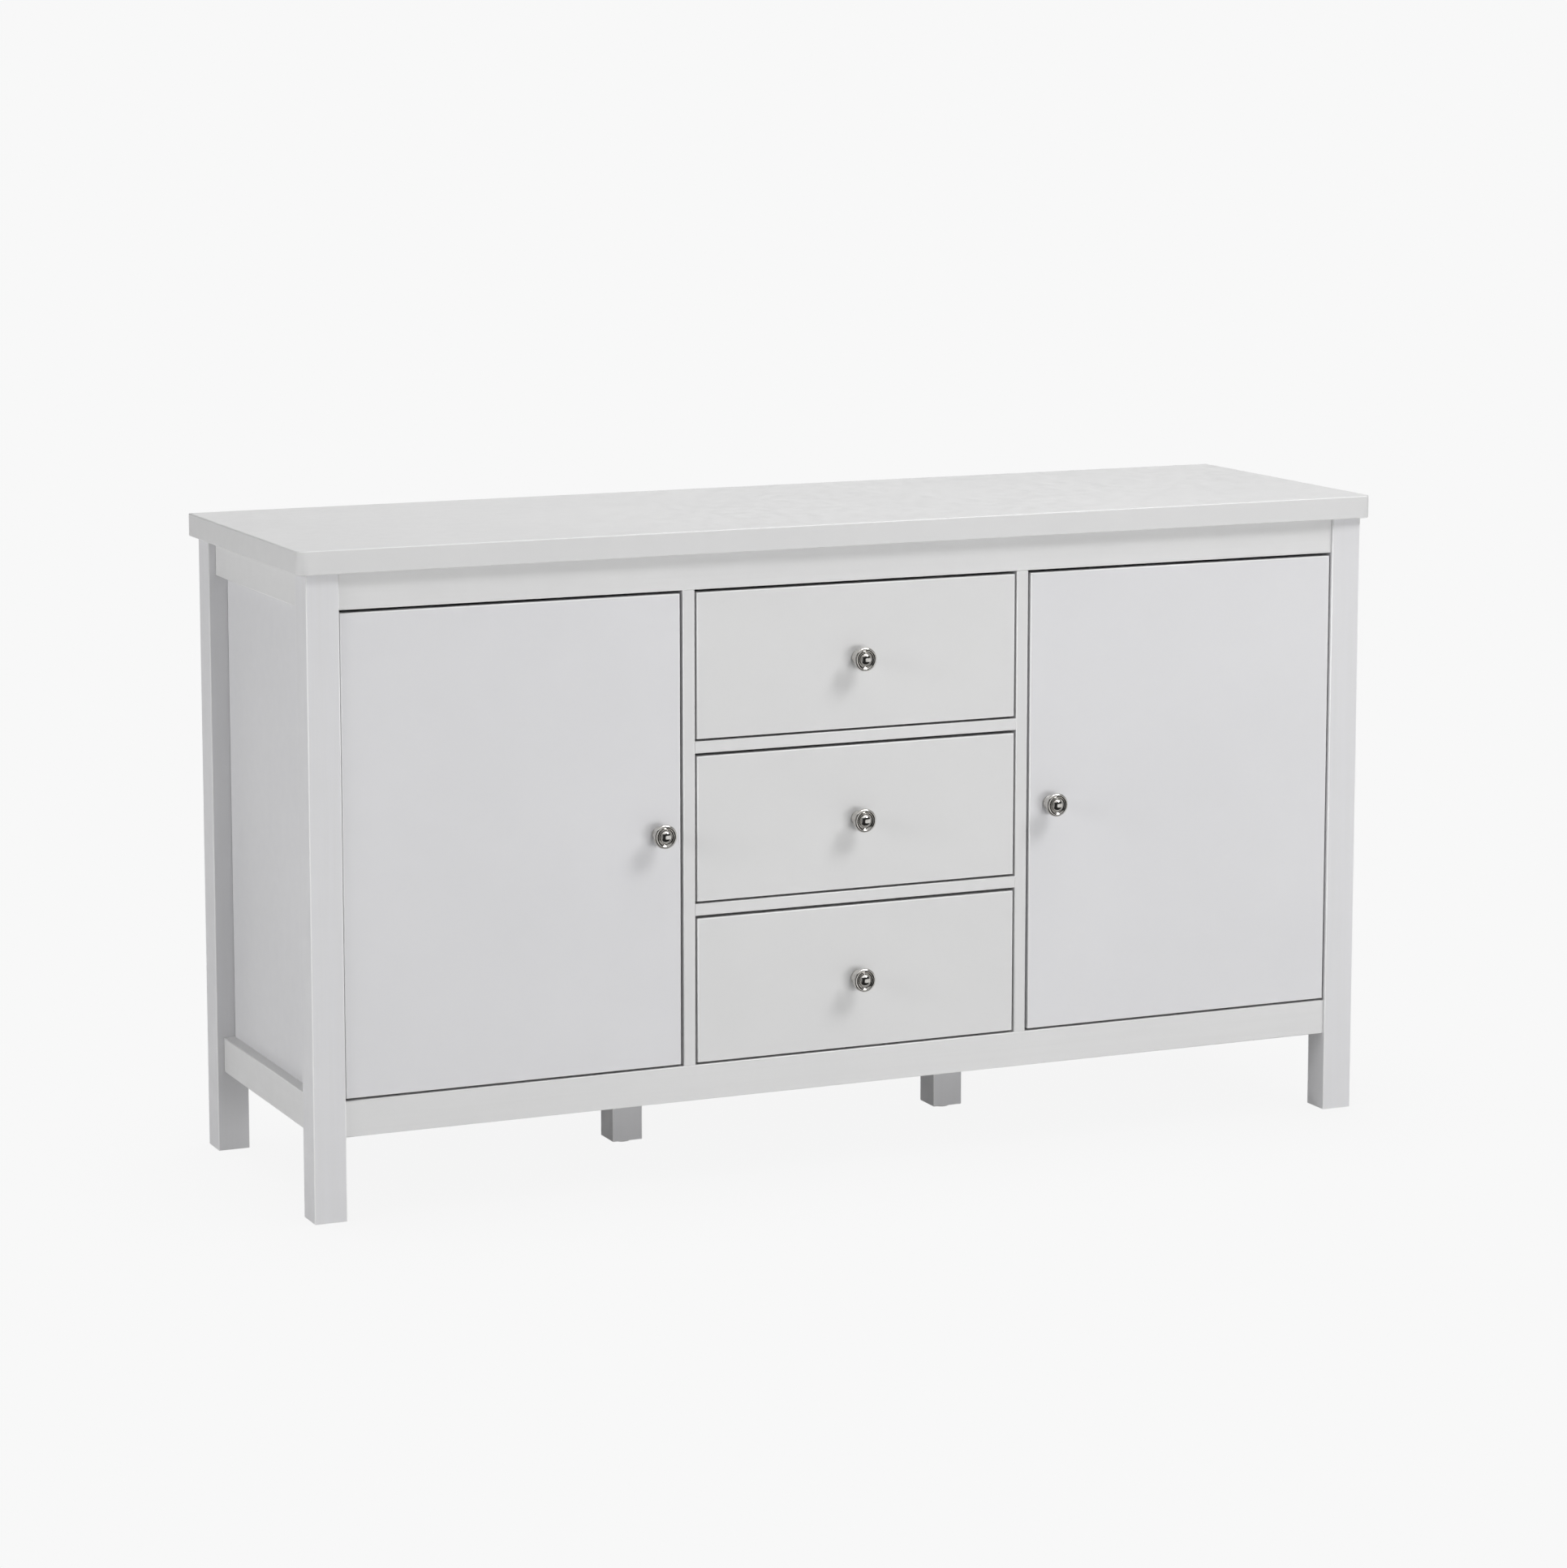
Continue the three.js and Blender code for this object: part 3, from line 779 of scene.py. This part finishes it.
def make_knobs():
    names = [f"door_{side}_knob" for side in SIDES]
    names += [f"drawer_{drawer}_knob" for drawer in DRAWERS]
    for node in names:
        low, high = limits(node)
        centre = middle(node)
        rim = (high[X] - low[X]) / 2 / MM
        section = knob_section((high[Y] - low[Y]) / MM, rim)
        bm = new_mesh()
        place = facing((centre[X], high[Y], centre[Z]), (0, -1, 0))
        add_turned(bm, in_metres(section), place, 72)
        crisp_edges(bm)
        finish_node(node, bm, NICKEL)


def screw_head(name, radius, height, slot_depth):
    """A domed screw head with a cross recess, standing on z = 0."""
    rim = [(radius, 0.0), (radius, 0.35 * height)]
    shoulder, crown = (radius * 0.94, 0.62 * height), (radius * 0.62, 0.9 * height)
    dome = smooth_run([shoulder, crown, (0.0, height)], 3)
    head = new_mesh()
    add_turned(head, [(0.0, 0.0), *rim, *dome], Matrix.Identity(4), 24)
    cross = new_mesh()
    long, short = 0.58 * radius, 0.15 * radius
    floor = height - slot_depth
    for half_x, half_y in ((long, short), (short, long * 0.999)):
        add_block(cross, (-half_x, -half_y, floor), (half_x, half_y, 2 * height))
    carved = carve(head, cross)
    crisp_edges(carved)
    return keep_mesh(name, carved)


def cap_disc(name, radius, height):
    """A thin domed cover cap, standing on z = 0."""
    bm = new_mesh()
    section = [(0.0, 0.0), (radius, 0.0), (radius * 0.985, 0.45 * height)]
    section += [(radius * 0.9, 0.85 * height), (radius * 0.5, height), (0.0, height)]
    add_turned(bm, section, Matrix.Identity(4), 28)
    return keep_mesh(name, bm)


SMALL_SCREW = screw_head("small_screw", 3.4 * MM, 1.5 * MM, 1.0 * MM)
KNOB_SCREW = screw_head("knob_screw", 4.6 * MM, 2.4 * MM, 1.3 * MM)
FLAT_SCREW = screw_head("flat_screw", 3.6 * MM, 0.8 * MM, 0.6 * MM)
COVER_CAP = cap_disc("cover_cap", 8.0 * MM, 0.8 * MM)
NAIL_HEAD = cap_disc("nail_head", 2.2 * MM, 0.9 * MM)


def add_knob_screws():
    """The screw that holds each knob shows, on a washer, at the back of its front."""
    washer_radius, washer_height = 6.5 * MM, 0.8 * MM
    washer = [(0.0, 0.0), (washer_radius, 0.0), (washer_radius, washer_height)]
    washer += [(0.0, washer_height)]
    fronts = {f"door_{side}": f"door_{side}_panel" for side in SIDES}
    fronts.update({f"drawer_{drawer}": f"drawer_{drawer}_front" for drawer in DRAWERS})
    for stem, front in fronts.items():
        centre = middle(f"{stem}_knob")
        back_y = limits(front)[1][Y]
        place = facing((centre[X], back_y, centre[Z]), (0, 1, 0), spin=0.4)
        bm = new_mesh()
        add_turned(bm, washer, place, 32)
        add_copy(bm, KNOB_SCREW, place @ Matrix.Translation((0, 0, washer_height)))
        crisp_edges(bm)
        add_hardware(f"{stem}_knob_screw", bm, STEEL, BODY_OF[front])


# ---- Hinges ----


def cup_section(flange, depth, lip):
    """Half of a hinge cup's section, in (radius, height) pairs from the door's back: a pot
    of the given depth, under a flange that stands proud by the lip."""
    wall = 1.4 * MM
    corner = 2 * MM
    rim_bevel, mouth_bevel = 0.6 * MM, 0.8 * MM
    pot = flange - 2.75 * MM
    hollow = pot - wall
    section = [(0.0, -depth), (pot - corner, -depth), (pot, corner - depth), (pot, 0.0)]
    section += [(flange, 0.0), (flange, 0.7 * lip), (flange - rim_bevel, lip)]
    section += [(hollow + mouth_bevel, lip), (hollow, lip - mouth_bevel)]
    section += [(hollow, corner - depth + wall), (pot - corner - wall, wall - depth)]
    return [*section, (0.0, wall - depth)]


def make_hinge_cups():
    """Pressed cups let into the doors, each with two screwed wings on the door's back."""
    wing_radius, wing_thickness = 6.5 * MM, 1.1 * MM
    wing_overlap = 1.5 * MM
    for side in SIDES:
        back_y = limits(f"door_{side}_panel")[1][Y]
        for row in HINGE_ROWS:
            node = f"door_{side}_cup_{row}"
            low, high = limits(node)
            centre = middle(node)
            flange = (high[X] - low[X]) / 2
            section = cup_section(flange, back_y - low[Y], high[Y] - back_y)
            bm = new_mesh()
            add_turned(bm, section, facing((centre[X], back_y, centre[Z]), (0, 1, 0)), 56)
            for sign in (-1, 1):
                tip = (centre[X], centre[Z] + sign * HINGE_SCREW_SPACING / 2)
                start = 0 if sign > 0 else 180
                outline = arc(tip, wing_radius, start, start + 180, 14)
                root = centre[Z] + sign * (flange - wing_overlap)
                outline += [(outline[-1][0], root), (outline[0][0], root)]
                add_prism(bm, outline, Y, back_y, back_y + wing_thickness)
                spot = (tip[0], back_y + wing_thickness, tip[1])
                add_copy(bm, SMALL_SCREW, facing(spot, (0, 1, 0), spin=0.3 * sign))
            crisp_edges(bm)
            finish_node(node, bm, STEEL)


def cranked_arm(origin, sign, z):
    """A cranked arm of channel section, centred on a height. Its outlines are in
    millimetres: inward from the end's inner face, and back from the closed doors' backs."""
    outer = [(6, 64), (6, 20), (16, 2.5), (36, 2.5), (36, 11.5), (20, 26), (20, 64)]
    channel = [(3, 70), (3, 21), (17, 1), (34.4, 1), (34.4, 10.8), (18.6, 25.2), (18.6, 70)]
    half = 7.0 * MM
    wall = 1.3 * MM
    fold_radius = 0.8 * MM

    def placed(corners):
        return [(origin[0] - sign * inward * MM, origin[1] + back * MM) for inward, back in corners]

    bm = new_mesh()
    add_prism(bm, placed(outer), Z, z - half, z + half)
    ease(bm, fold_radius, lambda edge: not runs_along(edge, X) and not runs_along(edge, Y))
    hollow = new_mesh()
    add_prism(hollow, placed(channel), Z, z - half + wall, z + half - wall)
    return carve(bm, hollow)


def make_hinge_arms():
    """A cranked arm on a bridge, over a winged mounting plate screwed to the end."""
    arm_height = 20 * MM
    arm_screws = ((36 * MM, 0.2), (54 * MM, 0.9))
    bridge_height, bridge_half = 6 * MM, 5.2 * MM
    bridge_front, bridge_back = 22 * MM, 60 * MM
    plate_thickness = 1.8 * MM
    wing_back, wing_radius = 42 * MM, 8 * MM
    for side, sign in SIDES.items():
        inner_x, _ = cupboard_faces(side)
        doors_back = limits(f"door_{side}_panel")[1][Y]
        inward = (-sign, 0, 0)
        for row in HINGE_ROWS:
            node = f"hinge_arm_{side}_{row}"
            low, high = limits(node)
            z = middle(node)[Z]
            bm = cranked_arm((inner_x, doors_back), sign, z)
            bridge_x = sorted((inner_x, inner_x - sign * bridge_height))
            add_block(
                bm,
                (bridge_x[0], doors_back + bridge_front, z - bridge_half),
                (bridge_x[1], doors_back + bridge_back, z + bridge_half),
            )
            plate_x = sorted((inner_x, inner_x - sign * plate_thickness))
            wing_y = doors_back + wing_back
            lower_z, upper_z = low[Z] + wing_radius, high[Z] - wing_radius
            wings = arc((wing_y, upper_z), wing_radius, 0, 180, 12)
            wings += arc((wing_y, lower_z), wing_radius, 180, 360, 12)
            add_prism(bm, wings, X, *plate_x)
            for wing_z in (lower_z, upper_z):
                spot = (inner_x - sign * plate_thickness, wing_y, wing_z)
                add_copy(bm, SMALL_SCREW, facing(spot, inward, spin=0.5))
            for back, spin in arm_screws:
                spot = (inner_x - sign * arm_height, doors_back + back, z)
                add_copy(bm, SMALL_SCREW, facing(spot, inward, spin))
            crisp_edges(bm)
            finish_node(node, bm, STEEL)


def add_hinge_links():
    """The gooseneck link of each hinge, a flat strip from inside the arm to the bottom of
    the cup. Its curved stretch keeps to a narrow ring round the hinge line, where it is
    short while the door is shut and long once the door is open."""
    half_height = 5.5 * MM
    half_thickness = 0.8 * MM
    arm_radius, arm_angle = 31.0 * MM, 47.0
    cup_radius, cup_angle = 27.0 * MM, 34.0
    # How far the straight ends run on, outwards and backwards
    into_arm = (8.0 * MM, 9.0 * MM)
    into_cup = (2.0 * MM, -6.0 * MM)
    bend_steps = 32
    for joint in frame["joints"]:
        if not joint["name"].startswith("door"):
            continue
        body = joint["child"]
        side = body.removeprefix("door_")
        sign = SIDES[side]
        axis_x, axis_y, _ = joint["pos_m"]

        def ring_point(share):
            """A place on the bend and the direction across it, from arm to cup."""
            radius = arm_radius + (cup_radius - arm_radius) * share
            turn = math.radians(arm_angle + (cup_angle - arm_angle) * share)
            out = Vector((-sign * math.cos(turn), math.sin(turn)))
            return Vector((axis_x, axis_y)) + radius * out, out

        bend = [ring_point(i / bend_steps) for i in range(bend_steps + 1)]
        (start, start_out), (end, end_out) = bend[0], bend[-1]
        tail = start + Vector((sign * into_arm[0], into_arm[1]))
        foot = end + Vector((sign * into_cup[0], into_cup[1]))
        spine = [(tail, start_out), *bend, (foot, end_out)]
        for row in HINGE_ROWS:
            cup_z = middle(f"door_{side}_cup_{row}")[Z]
            bm = new_mesh()
            rings = []
            for spot, out in spine:
                corners = []
                for u, v in ((-1, -1), (1, -1), (1, 1), (-1, 1)):
                    flat = spot + u * half_thickness * out
                    corners.append(bm.verts.new((flat.x, flat.y, cup_z + v * half_height)))
                rings.append(corners)
            bm.faces.new(rings[0])
            bm.faces.new(rings[-1])
            for lower, upper in zip(rings, rings[1:]):
                for a in range(4):
                    b = (a + 1) % 4
                    face = bm.faces.new([lower[a], lower[b], upper[b], upper[a]])
                    face.smooth = a in (1, 3)
            crisp_edges(bm, degrees=60.0)
            link = make_object(f"hinge_link_{side}_{row}", bm, [STEEL])
            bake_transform(link, "carcass", body, (*start, cup_z), (*end, cup_z))


# ---- Runners and small fittings ----


def make_runners():
    """Moulded strips with rounded ends, each held by three countersunk screws."""
    end_radius, edge_radius = 6.0 * MM, 0.8 * MM
    sink_radius, sink_depth = 4.2 * MM, 2.0 * MM
    screw_shares = (0.08, 0.5, 0.92)
    for drawer in DRAWERS:
        for side, sign in SIDES.items():
            node = f"runner_{drawer}_{side}"
            low, high = limits(node)
            bm = new_mesh()
            add_block(bm, low, high)
            ease(bm, end_radius, lambda edge: runs_along(edge, X), 6)
            free_x = low[X] if sign > 0 else high[X]
            ease(bm, edge_radius, lambda edge: lies_at(edge, X, free_x), 2)
            screw_places = [low[Y] + share * (high[Y] - low[Y]) for share in screw_shares]
            z = (low[Z] + high[Z]) / 2
            sinks = new_mesh()
            for y in screw_places:
                add_rod(sinks, (free_x, y, z), (1, 0, 0), sink_radius, 2 * sink_depth, 28)
            finish_node(node, carve(bm, sinks), PLASTIC)
            screws = new_mesh()
            for index, y in enumerate(screw_places):
                spot = (free_x + sign * sink_depth, y, z)
                add_copy(screws, FLAT_SCREW, facing(spot, (-sign, 0, 0), spin=0.7 * index))
            add_hardware(f"{node}_screws", screws, STEEL, "carcass")


def add_shelf_pins():
    """Four grooved steel pins under each shelf."""
    radius = PIN_RADIUS / MM
    section = [(0.0, 0.0), (radius, 0.0), (radius, 1.4), (2.0, 1.8), (radius, 2.2)]
    section += [(radius, 7.2), (1.8, 8.0), (0.0, 8.0)]
    for side, sign in SIDES.items():
        _, depths = shelf_pin_rows(side)
        z = limits(f"shelf_{side}")[0][Z] - PIN_RADIUS
        bm = new_mesh()
        for face_x, out in zip(cupboard_faces(side), (-sign, sign)):
            for y in depths:
                add_turned(bm, in_metres(section), facing((face_x, y, z), (out, 0, 0)), 24)
        crisp_edges(bm)
        add_hardware(f"shelf_pins_{side}", bm, STEEL, "carcass")


def add_cover_caps():
    """Caps over the cam fittings that hold the top, on the cupboards' inner faces."""
    below_top = 34.0 * MM
    for side, sign in SIDES.items():
        end_low, end_high = limits(f"side_panel_{side}")
        z = end_high[Z] - below_top
        bm = new_mesh()
        for face_x, out in zip(cupboard_faces(side), (-sign, sign)):
            for share in (0.14, 0.86):
                y = end_low[Y] + share * (end_high[Y] - end_low[Y])
                add_copy(bm, COVER_CAP, facing((face_x, y, z), (out, 0, 0)))
        add_hardware(f"cover_caps_{side}", bm, PLASTIC, "carcass")


def add_drawer_fittings():
    """Cover caps near each drawer's front, and screws that hold the sides to the back."""
    caps_behind_front = 34.0 * MM
    for drawer in DRAWERS:
        body = f"drawer_{drawer}"
        caps = new_mesh()
        screws = new_mesh()
        back_y = middle(f"{body}_back")[Y]
        for side, sign in SIDES.items():
            low, high = limits(f"{body}_side_{side}")
            outer, inner = (low[X], high[X]) if sign < 0 else (high[X], low[X])
            for share in (0.28, 0.78):
                z = low[Z] + share * (high[Z] - low[Z])
                cap_spot = (inner, low[Y] + caps_behind_front, z)
                add_copy(caps, COVER_CAP, facing(cap_spot, (-sign, 0, 0)))
                add_copy(screws, FLAT_SCREW, facing((outer, back_y, z), (sign, 0, 0), spin=share))
        add_hardware(f"{body}_caps", caps, PLASTIC, body)
        add_hardware(f"{body}_screws", screws, STEEL, body)


def add_levelling_feet():
    """A plastic foot on a steel stem under each middle leg."""
    pad = [(0.0, 0.0), (11.0, 0.0), (12.0, 0.8), (12.0, 2.2), (10.5, 3.0), (0.0, 3.0)]
    stem_radius = 4.0 * MM
    stem_low = 2.9 * MM
    stem_into_leg = 0.5 * MM
    for side in SIDES:
        leg = f"leg_middle_{side}"
        x, y, _ = middle(leg)
        sole = limits(leg)[0][Z]
        foot = new_mesh()
        add_turned(foot, in_metres(pad), Matrix.Translation((x, y, 0.0)), 40)
        crisp_edges(foot)
        add_hardware(f"levelling_foot_{side}", foot, PLASTIC, BODY_OF[leg])
        stem = new_mesh()
        stem_high = sole + stem_into_leg
        stem_middle = (x, y, (stem_low + stem_high) / 2)
        add_rod(stem, stem_middle, (0, 0, 1), stem_radius, stem_high - stem_low)
        add_hardware(f"levelling_stem_{side}", stem, STEEL, BODY_OF[leg])


def add_back_nails():
    """Small nails hold the back to the partitions and the bottom."""
    edge_inset = 30.0 * MM
    rise_to_first = 60 * MM
    nails_up, nails_across = 9, 13
    (x0, _, _), (x1, y1, z1) = limits("back_panel")
    floor_z = middle("bottom_panel")[Z]
    first_z, last_z = floor_z + rise_to_first, z1 - edge_inset
    first_x, last_x = x0 + edge_inset, x1 - edge_inset
    bm = new_mesh()
    for side in SIDES:
        x = middle(f"partition_{side}")[X]
        for i in range(nails_up):
            z = first_z + (last_z - first_z) * i / (nails_up - 1)
            add_copy(bm, NAIL_HEAD, facing((x, y1, z), (0, 1, 0)))
    for i in range(nails_across):
        x = first_x + (last_x - first_x) * i / (nails_across - 1)
        add_copy(bm, NAIL_HEAD, facing((x, y1, floor_z), (0, 1, 0)))
    add_hardware("back_nails", bm, STEEL, "carcass")


# ---- Studio and camera ----

BACKGROUND = 0.939
AMBIENT = 0.12
AMBIENT_LEAN = (0.0, -0.01, 0.01)

FLOOR_HALF_SIZE = 120.0
FLOOR_DROP = 0.5 * MM
FLOOR_TONE = 0.62
CONTACT_SHADOW = 0.965
SHADOW_REACH = 0.35

LENS_MM = 105.364
LENS_SHIFT = -0.09
CAMERA_PLACE = (-2.5674, -5.7013, 1.5836)
CAMERA_TIP_DEGREES = 8.191
CAMERA_TURN_DEGREES = -24.128
LIGHTS_AIM = (0.0, 0.0, 0.5)


def make_floor():
    """A pale floor that bounces the studio's light. Seen directly it has the background's
    own tone, with only a faint contact shadow where something stands near it. From below
    it is clear, so that the underside can be looked at."""
    bm = bmesh.new()
    bmesh.ops.create_grid(bm, x_segments=8, y_segments=8, size=FLOOR_HALF_SIZE)
    mesh = bpy.data.meshes.new("floor")
    bm.to_mesh(mesh)
    bm.free()
    floor = bpy.data.objects.new("floor", mesh)
    floor.location.z = -FLOOR_DROP
    bpy.context.scene.collection.objects.link(floor)

    material = bpy.data.materials.new("floor")
    material.use_nodes = True
    tree = material.node_tree
    tree.nodes.clear()
    underneath = add_node(tree, "ShaderNodeNewGeometry").outputs["Backfacing"]
    openness = add_node(tree, "ShaderNodeAmbientOcclusion", {"Distance": SHADOW_REACH}, samples=5)
    shade = remap(tree, openness.outputs["AO"], CONTACT_SHADOW, 1.0, start=0.35, end=0.95)
    glow = add_node(tree, "ShaderNodeEmission", {"Color": grey(BACKGROUND), "Strength": shade})
    diffuse = add_node(tree, "ShaderNodeBsdfDiffuse", {"Color": grey(FLOOR_TONE)})
    seen = add_node(tree, "ShaderNodeLightPath").outputs["Is Camera Ray"]
    above = add_node(
        tree, "ShaderNodeMixShader", {0: seen, 1: diffuse.outputs[0], 2: glow.outputs[0]}
    )
    clear = add_node(tree, "ShaderNodeBsdfTransparent")
    one_sided = add_node(
        tree, "ShaderNodeMixShader", {0: underneath, 1: above.outputs[0], 2: clear.outputs[0]}
    )
    output = add_node(tree, "ShaderNodeOutputMaterial")
    tree.links.new(one_sided.outputs[0], output.inputs["Surface"])
    mesh.materials.append(material)
    floor.visible_glossy = False


def make_world():
    """A studio that is an even, pale wall seen directly, and a faint glow to matt surfaces.
    Polished metal mirrors a room with hard contrast. Its front half is dark, with a bright
    card at the right, a dimmer window at the left and a strip of ceiling. Its rear half is
    bright above and below, with a dark band between."""
    world = bpy.data.worlds.new("studio")
    bpy.context.scene.world = world
    world.use_nodes = True
    tree = world.node_tree
    tree.nodes.clear()
    direction = add_node(tree, "ShaderNodeTexCoord").outputs["Generated"]
    lean = add_node(
        tree, "ShaderNodeVectorMath", {0: direction, 1: AMBIENT_LEAN}, operation="DOT_PRODUCT"
    )
    ambient = combine(tree, "ADD", lean.outputs["Value"], AMBIENT)
    split = add_node(tree, "ShaderNodeSeparateXYZ", {0: direction})
    sideways, forward, height = (split.outputs[axis] for axis in "XYZ")

    dome = remap(tree, height, 0.0, 1.15, start=0.16, end=0.75)
    ground = remap(tree, height, 0.85, 0.0, start=-0.16, end=-0.05)
    rear_room = combine(tree, "ADD", combine(tree, "ADD", dome, ground), 0.05)

    card_side = remap(tree, sideways, 0.0, 0.92, start=0.02, end=0.14)
    card_top = remap(tree, height, 1.0, 0.0, start=0.10, end=0.20)
    card_foot = remap(tree, height, 0.0, 1.0, start=-0.52, end=-0.44)
    card = combine(tree, "MULTIPLY", card_side, combine(tree, "MULTIPLY", card_top, card_foot))
    window = remap(tree, sideways, 0.30, 0.0, start=-0.82, end=-0.62)
    ceiling = remap(tree, height, 0.0, 1.0, start=0.66, end=0.74)
    bright = combine(tree, "MAXIMUM", combine(tree, "MAXIMUM", window, ceiling), card)
    front_room = combine(tree, "ADD", bright, 0.03)
    in_front = remap(tree, forward, 1.0, 0.0, start=-0.12, end=0.0)
    room = add_node(tree, "ShaderNodeMix", {0: in_front, 2: rear_room, 3: front_room}).outputs[0]

    path = add_node(tree, "ShaderNodeLightPath")
    mirrored, seen = path.outputs["Is Glossy Ray"], path.outputs["Is Camera Ray"]
    lit = add_node(tree, "ShaderNodeMix", {0: mirrored, 2: ambient, 3: room}).outputs[0]
    shown = add_node(tree, "ShaderNodeMix", {0: seen, 2: lit, 3: BACKGROUND}).outputs[0]
    background = add_node(tree, "ShaderNodeBackground", {"Color": grey(1.0), "Strength": shown})
    output = add_node(tree, "ShaderNodeOutputWorld")
    tree.links.new(background.outputs[0], output.inputs["Surface"])


def add_softbox(name, place, size, watts, mirrored=True):
    """A rectangular light aimed at the sideboard's middle. Glossy surfaces see it only if
    it is mirrored."""
    light = bpy.data.lights.new(name, "AREA")
    light.shape = "RECTANGLE"
    light.size, light.size_y = size
    light.energy = watts
    lamp = bpy.data.objects.new(name, light)
    lamp.location = place
    aim = Vector(LIGHTS_AIM) - Vector(place)
    lamp.rotation_euler = aim.to_track_quat("-Z", "Y").to_euler()
    lamp.visible_camera = False
    lamp.visible_glossy = mirrored
    bpy.context.scene.collection.objects.link(lamp)


def add_lights():
    add_softbox("key_softbox", (2.4, -2.6, 4.2), (1.6, 1.6), 116.0)
    add_softbox("top_softbox", (0.3, 0.1, 3.4), (2.6, 1.8), 36.0)
    add_softbox("front_softbox", (0.5, -4.8, 0.45), (3.2, 1.2), 90.0, mirrored=False)
    add_softbox("back_softbox", (0.0, 4.8, 2.2), (3.2, 1.6), 80.0, mirrored=False)
    add_softbox("left_softbox", (-4.6, -0.9, 1.7), (2.2, 1.6), 86.0, mirrored=False)


def add_camera():
    """A long lens at standing height, turned and tipped down towards the sideboard."""
    data = bpy.data.cameras.new("camera")
    data.sensor_fit = "HORIZONTAL"
    data.sensor_width = 36.0
    data.lens = LENS_MM
    data.shift_y = LENS_SHIFT
    data.clip_start = 0.1
    data.clip_end = 400.0
    camera = bpy.data.objects.new("camera", data)
    camera.location = CAMERA_PLACE
    tilt = math.radians(90.0 - CAMERA_TIP_DEGREES)
    camera.rotation_euler = (tilt, 0.0, math.radians(CAMERA_TURN_DEGREES))
    bpy.context.scene.collection.objects.link(camera)
    bpy.context.scene.camera = camera


# ---- The whole scene ----

make_top()
make_legs()
make_rails()
make_end_panels()
make_partitions()
make_inner_boards()
make_back()
make_door_panels()
make_drawer_fronts()
make_drawer_sides()
make_drawer_backs_and_bottoms()
make_knobs()
add_knob_screws()
make_hinge_cups()
make_hinge_arms()
add_hinge_links()
make_runners()
add_shelf_pins()
add_cover_caps()
add_drawer_fittings()
add_levelling_feet()
add_back_nails()
make_floor()
make_world()
add_lights()
add_camera()

bpy.context.scene.view_settings.view_transform = "Standard"
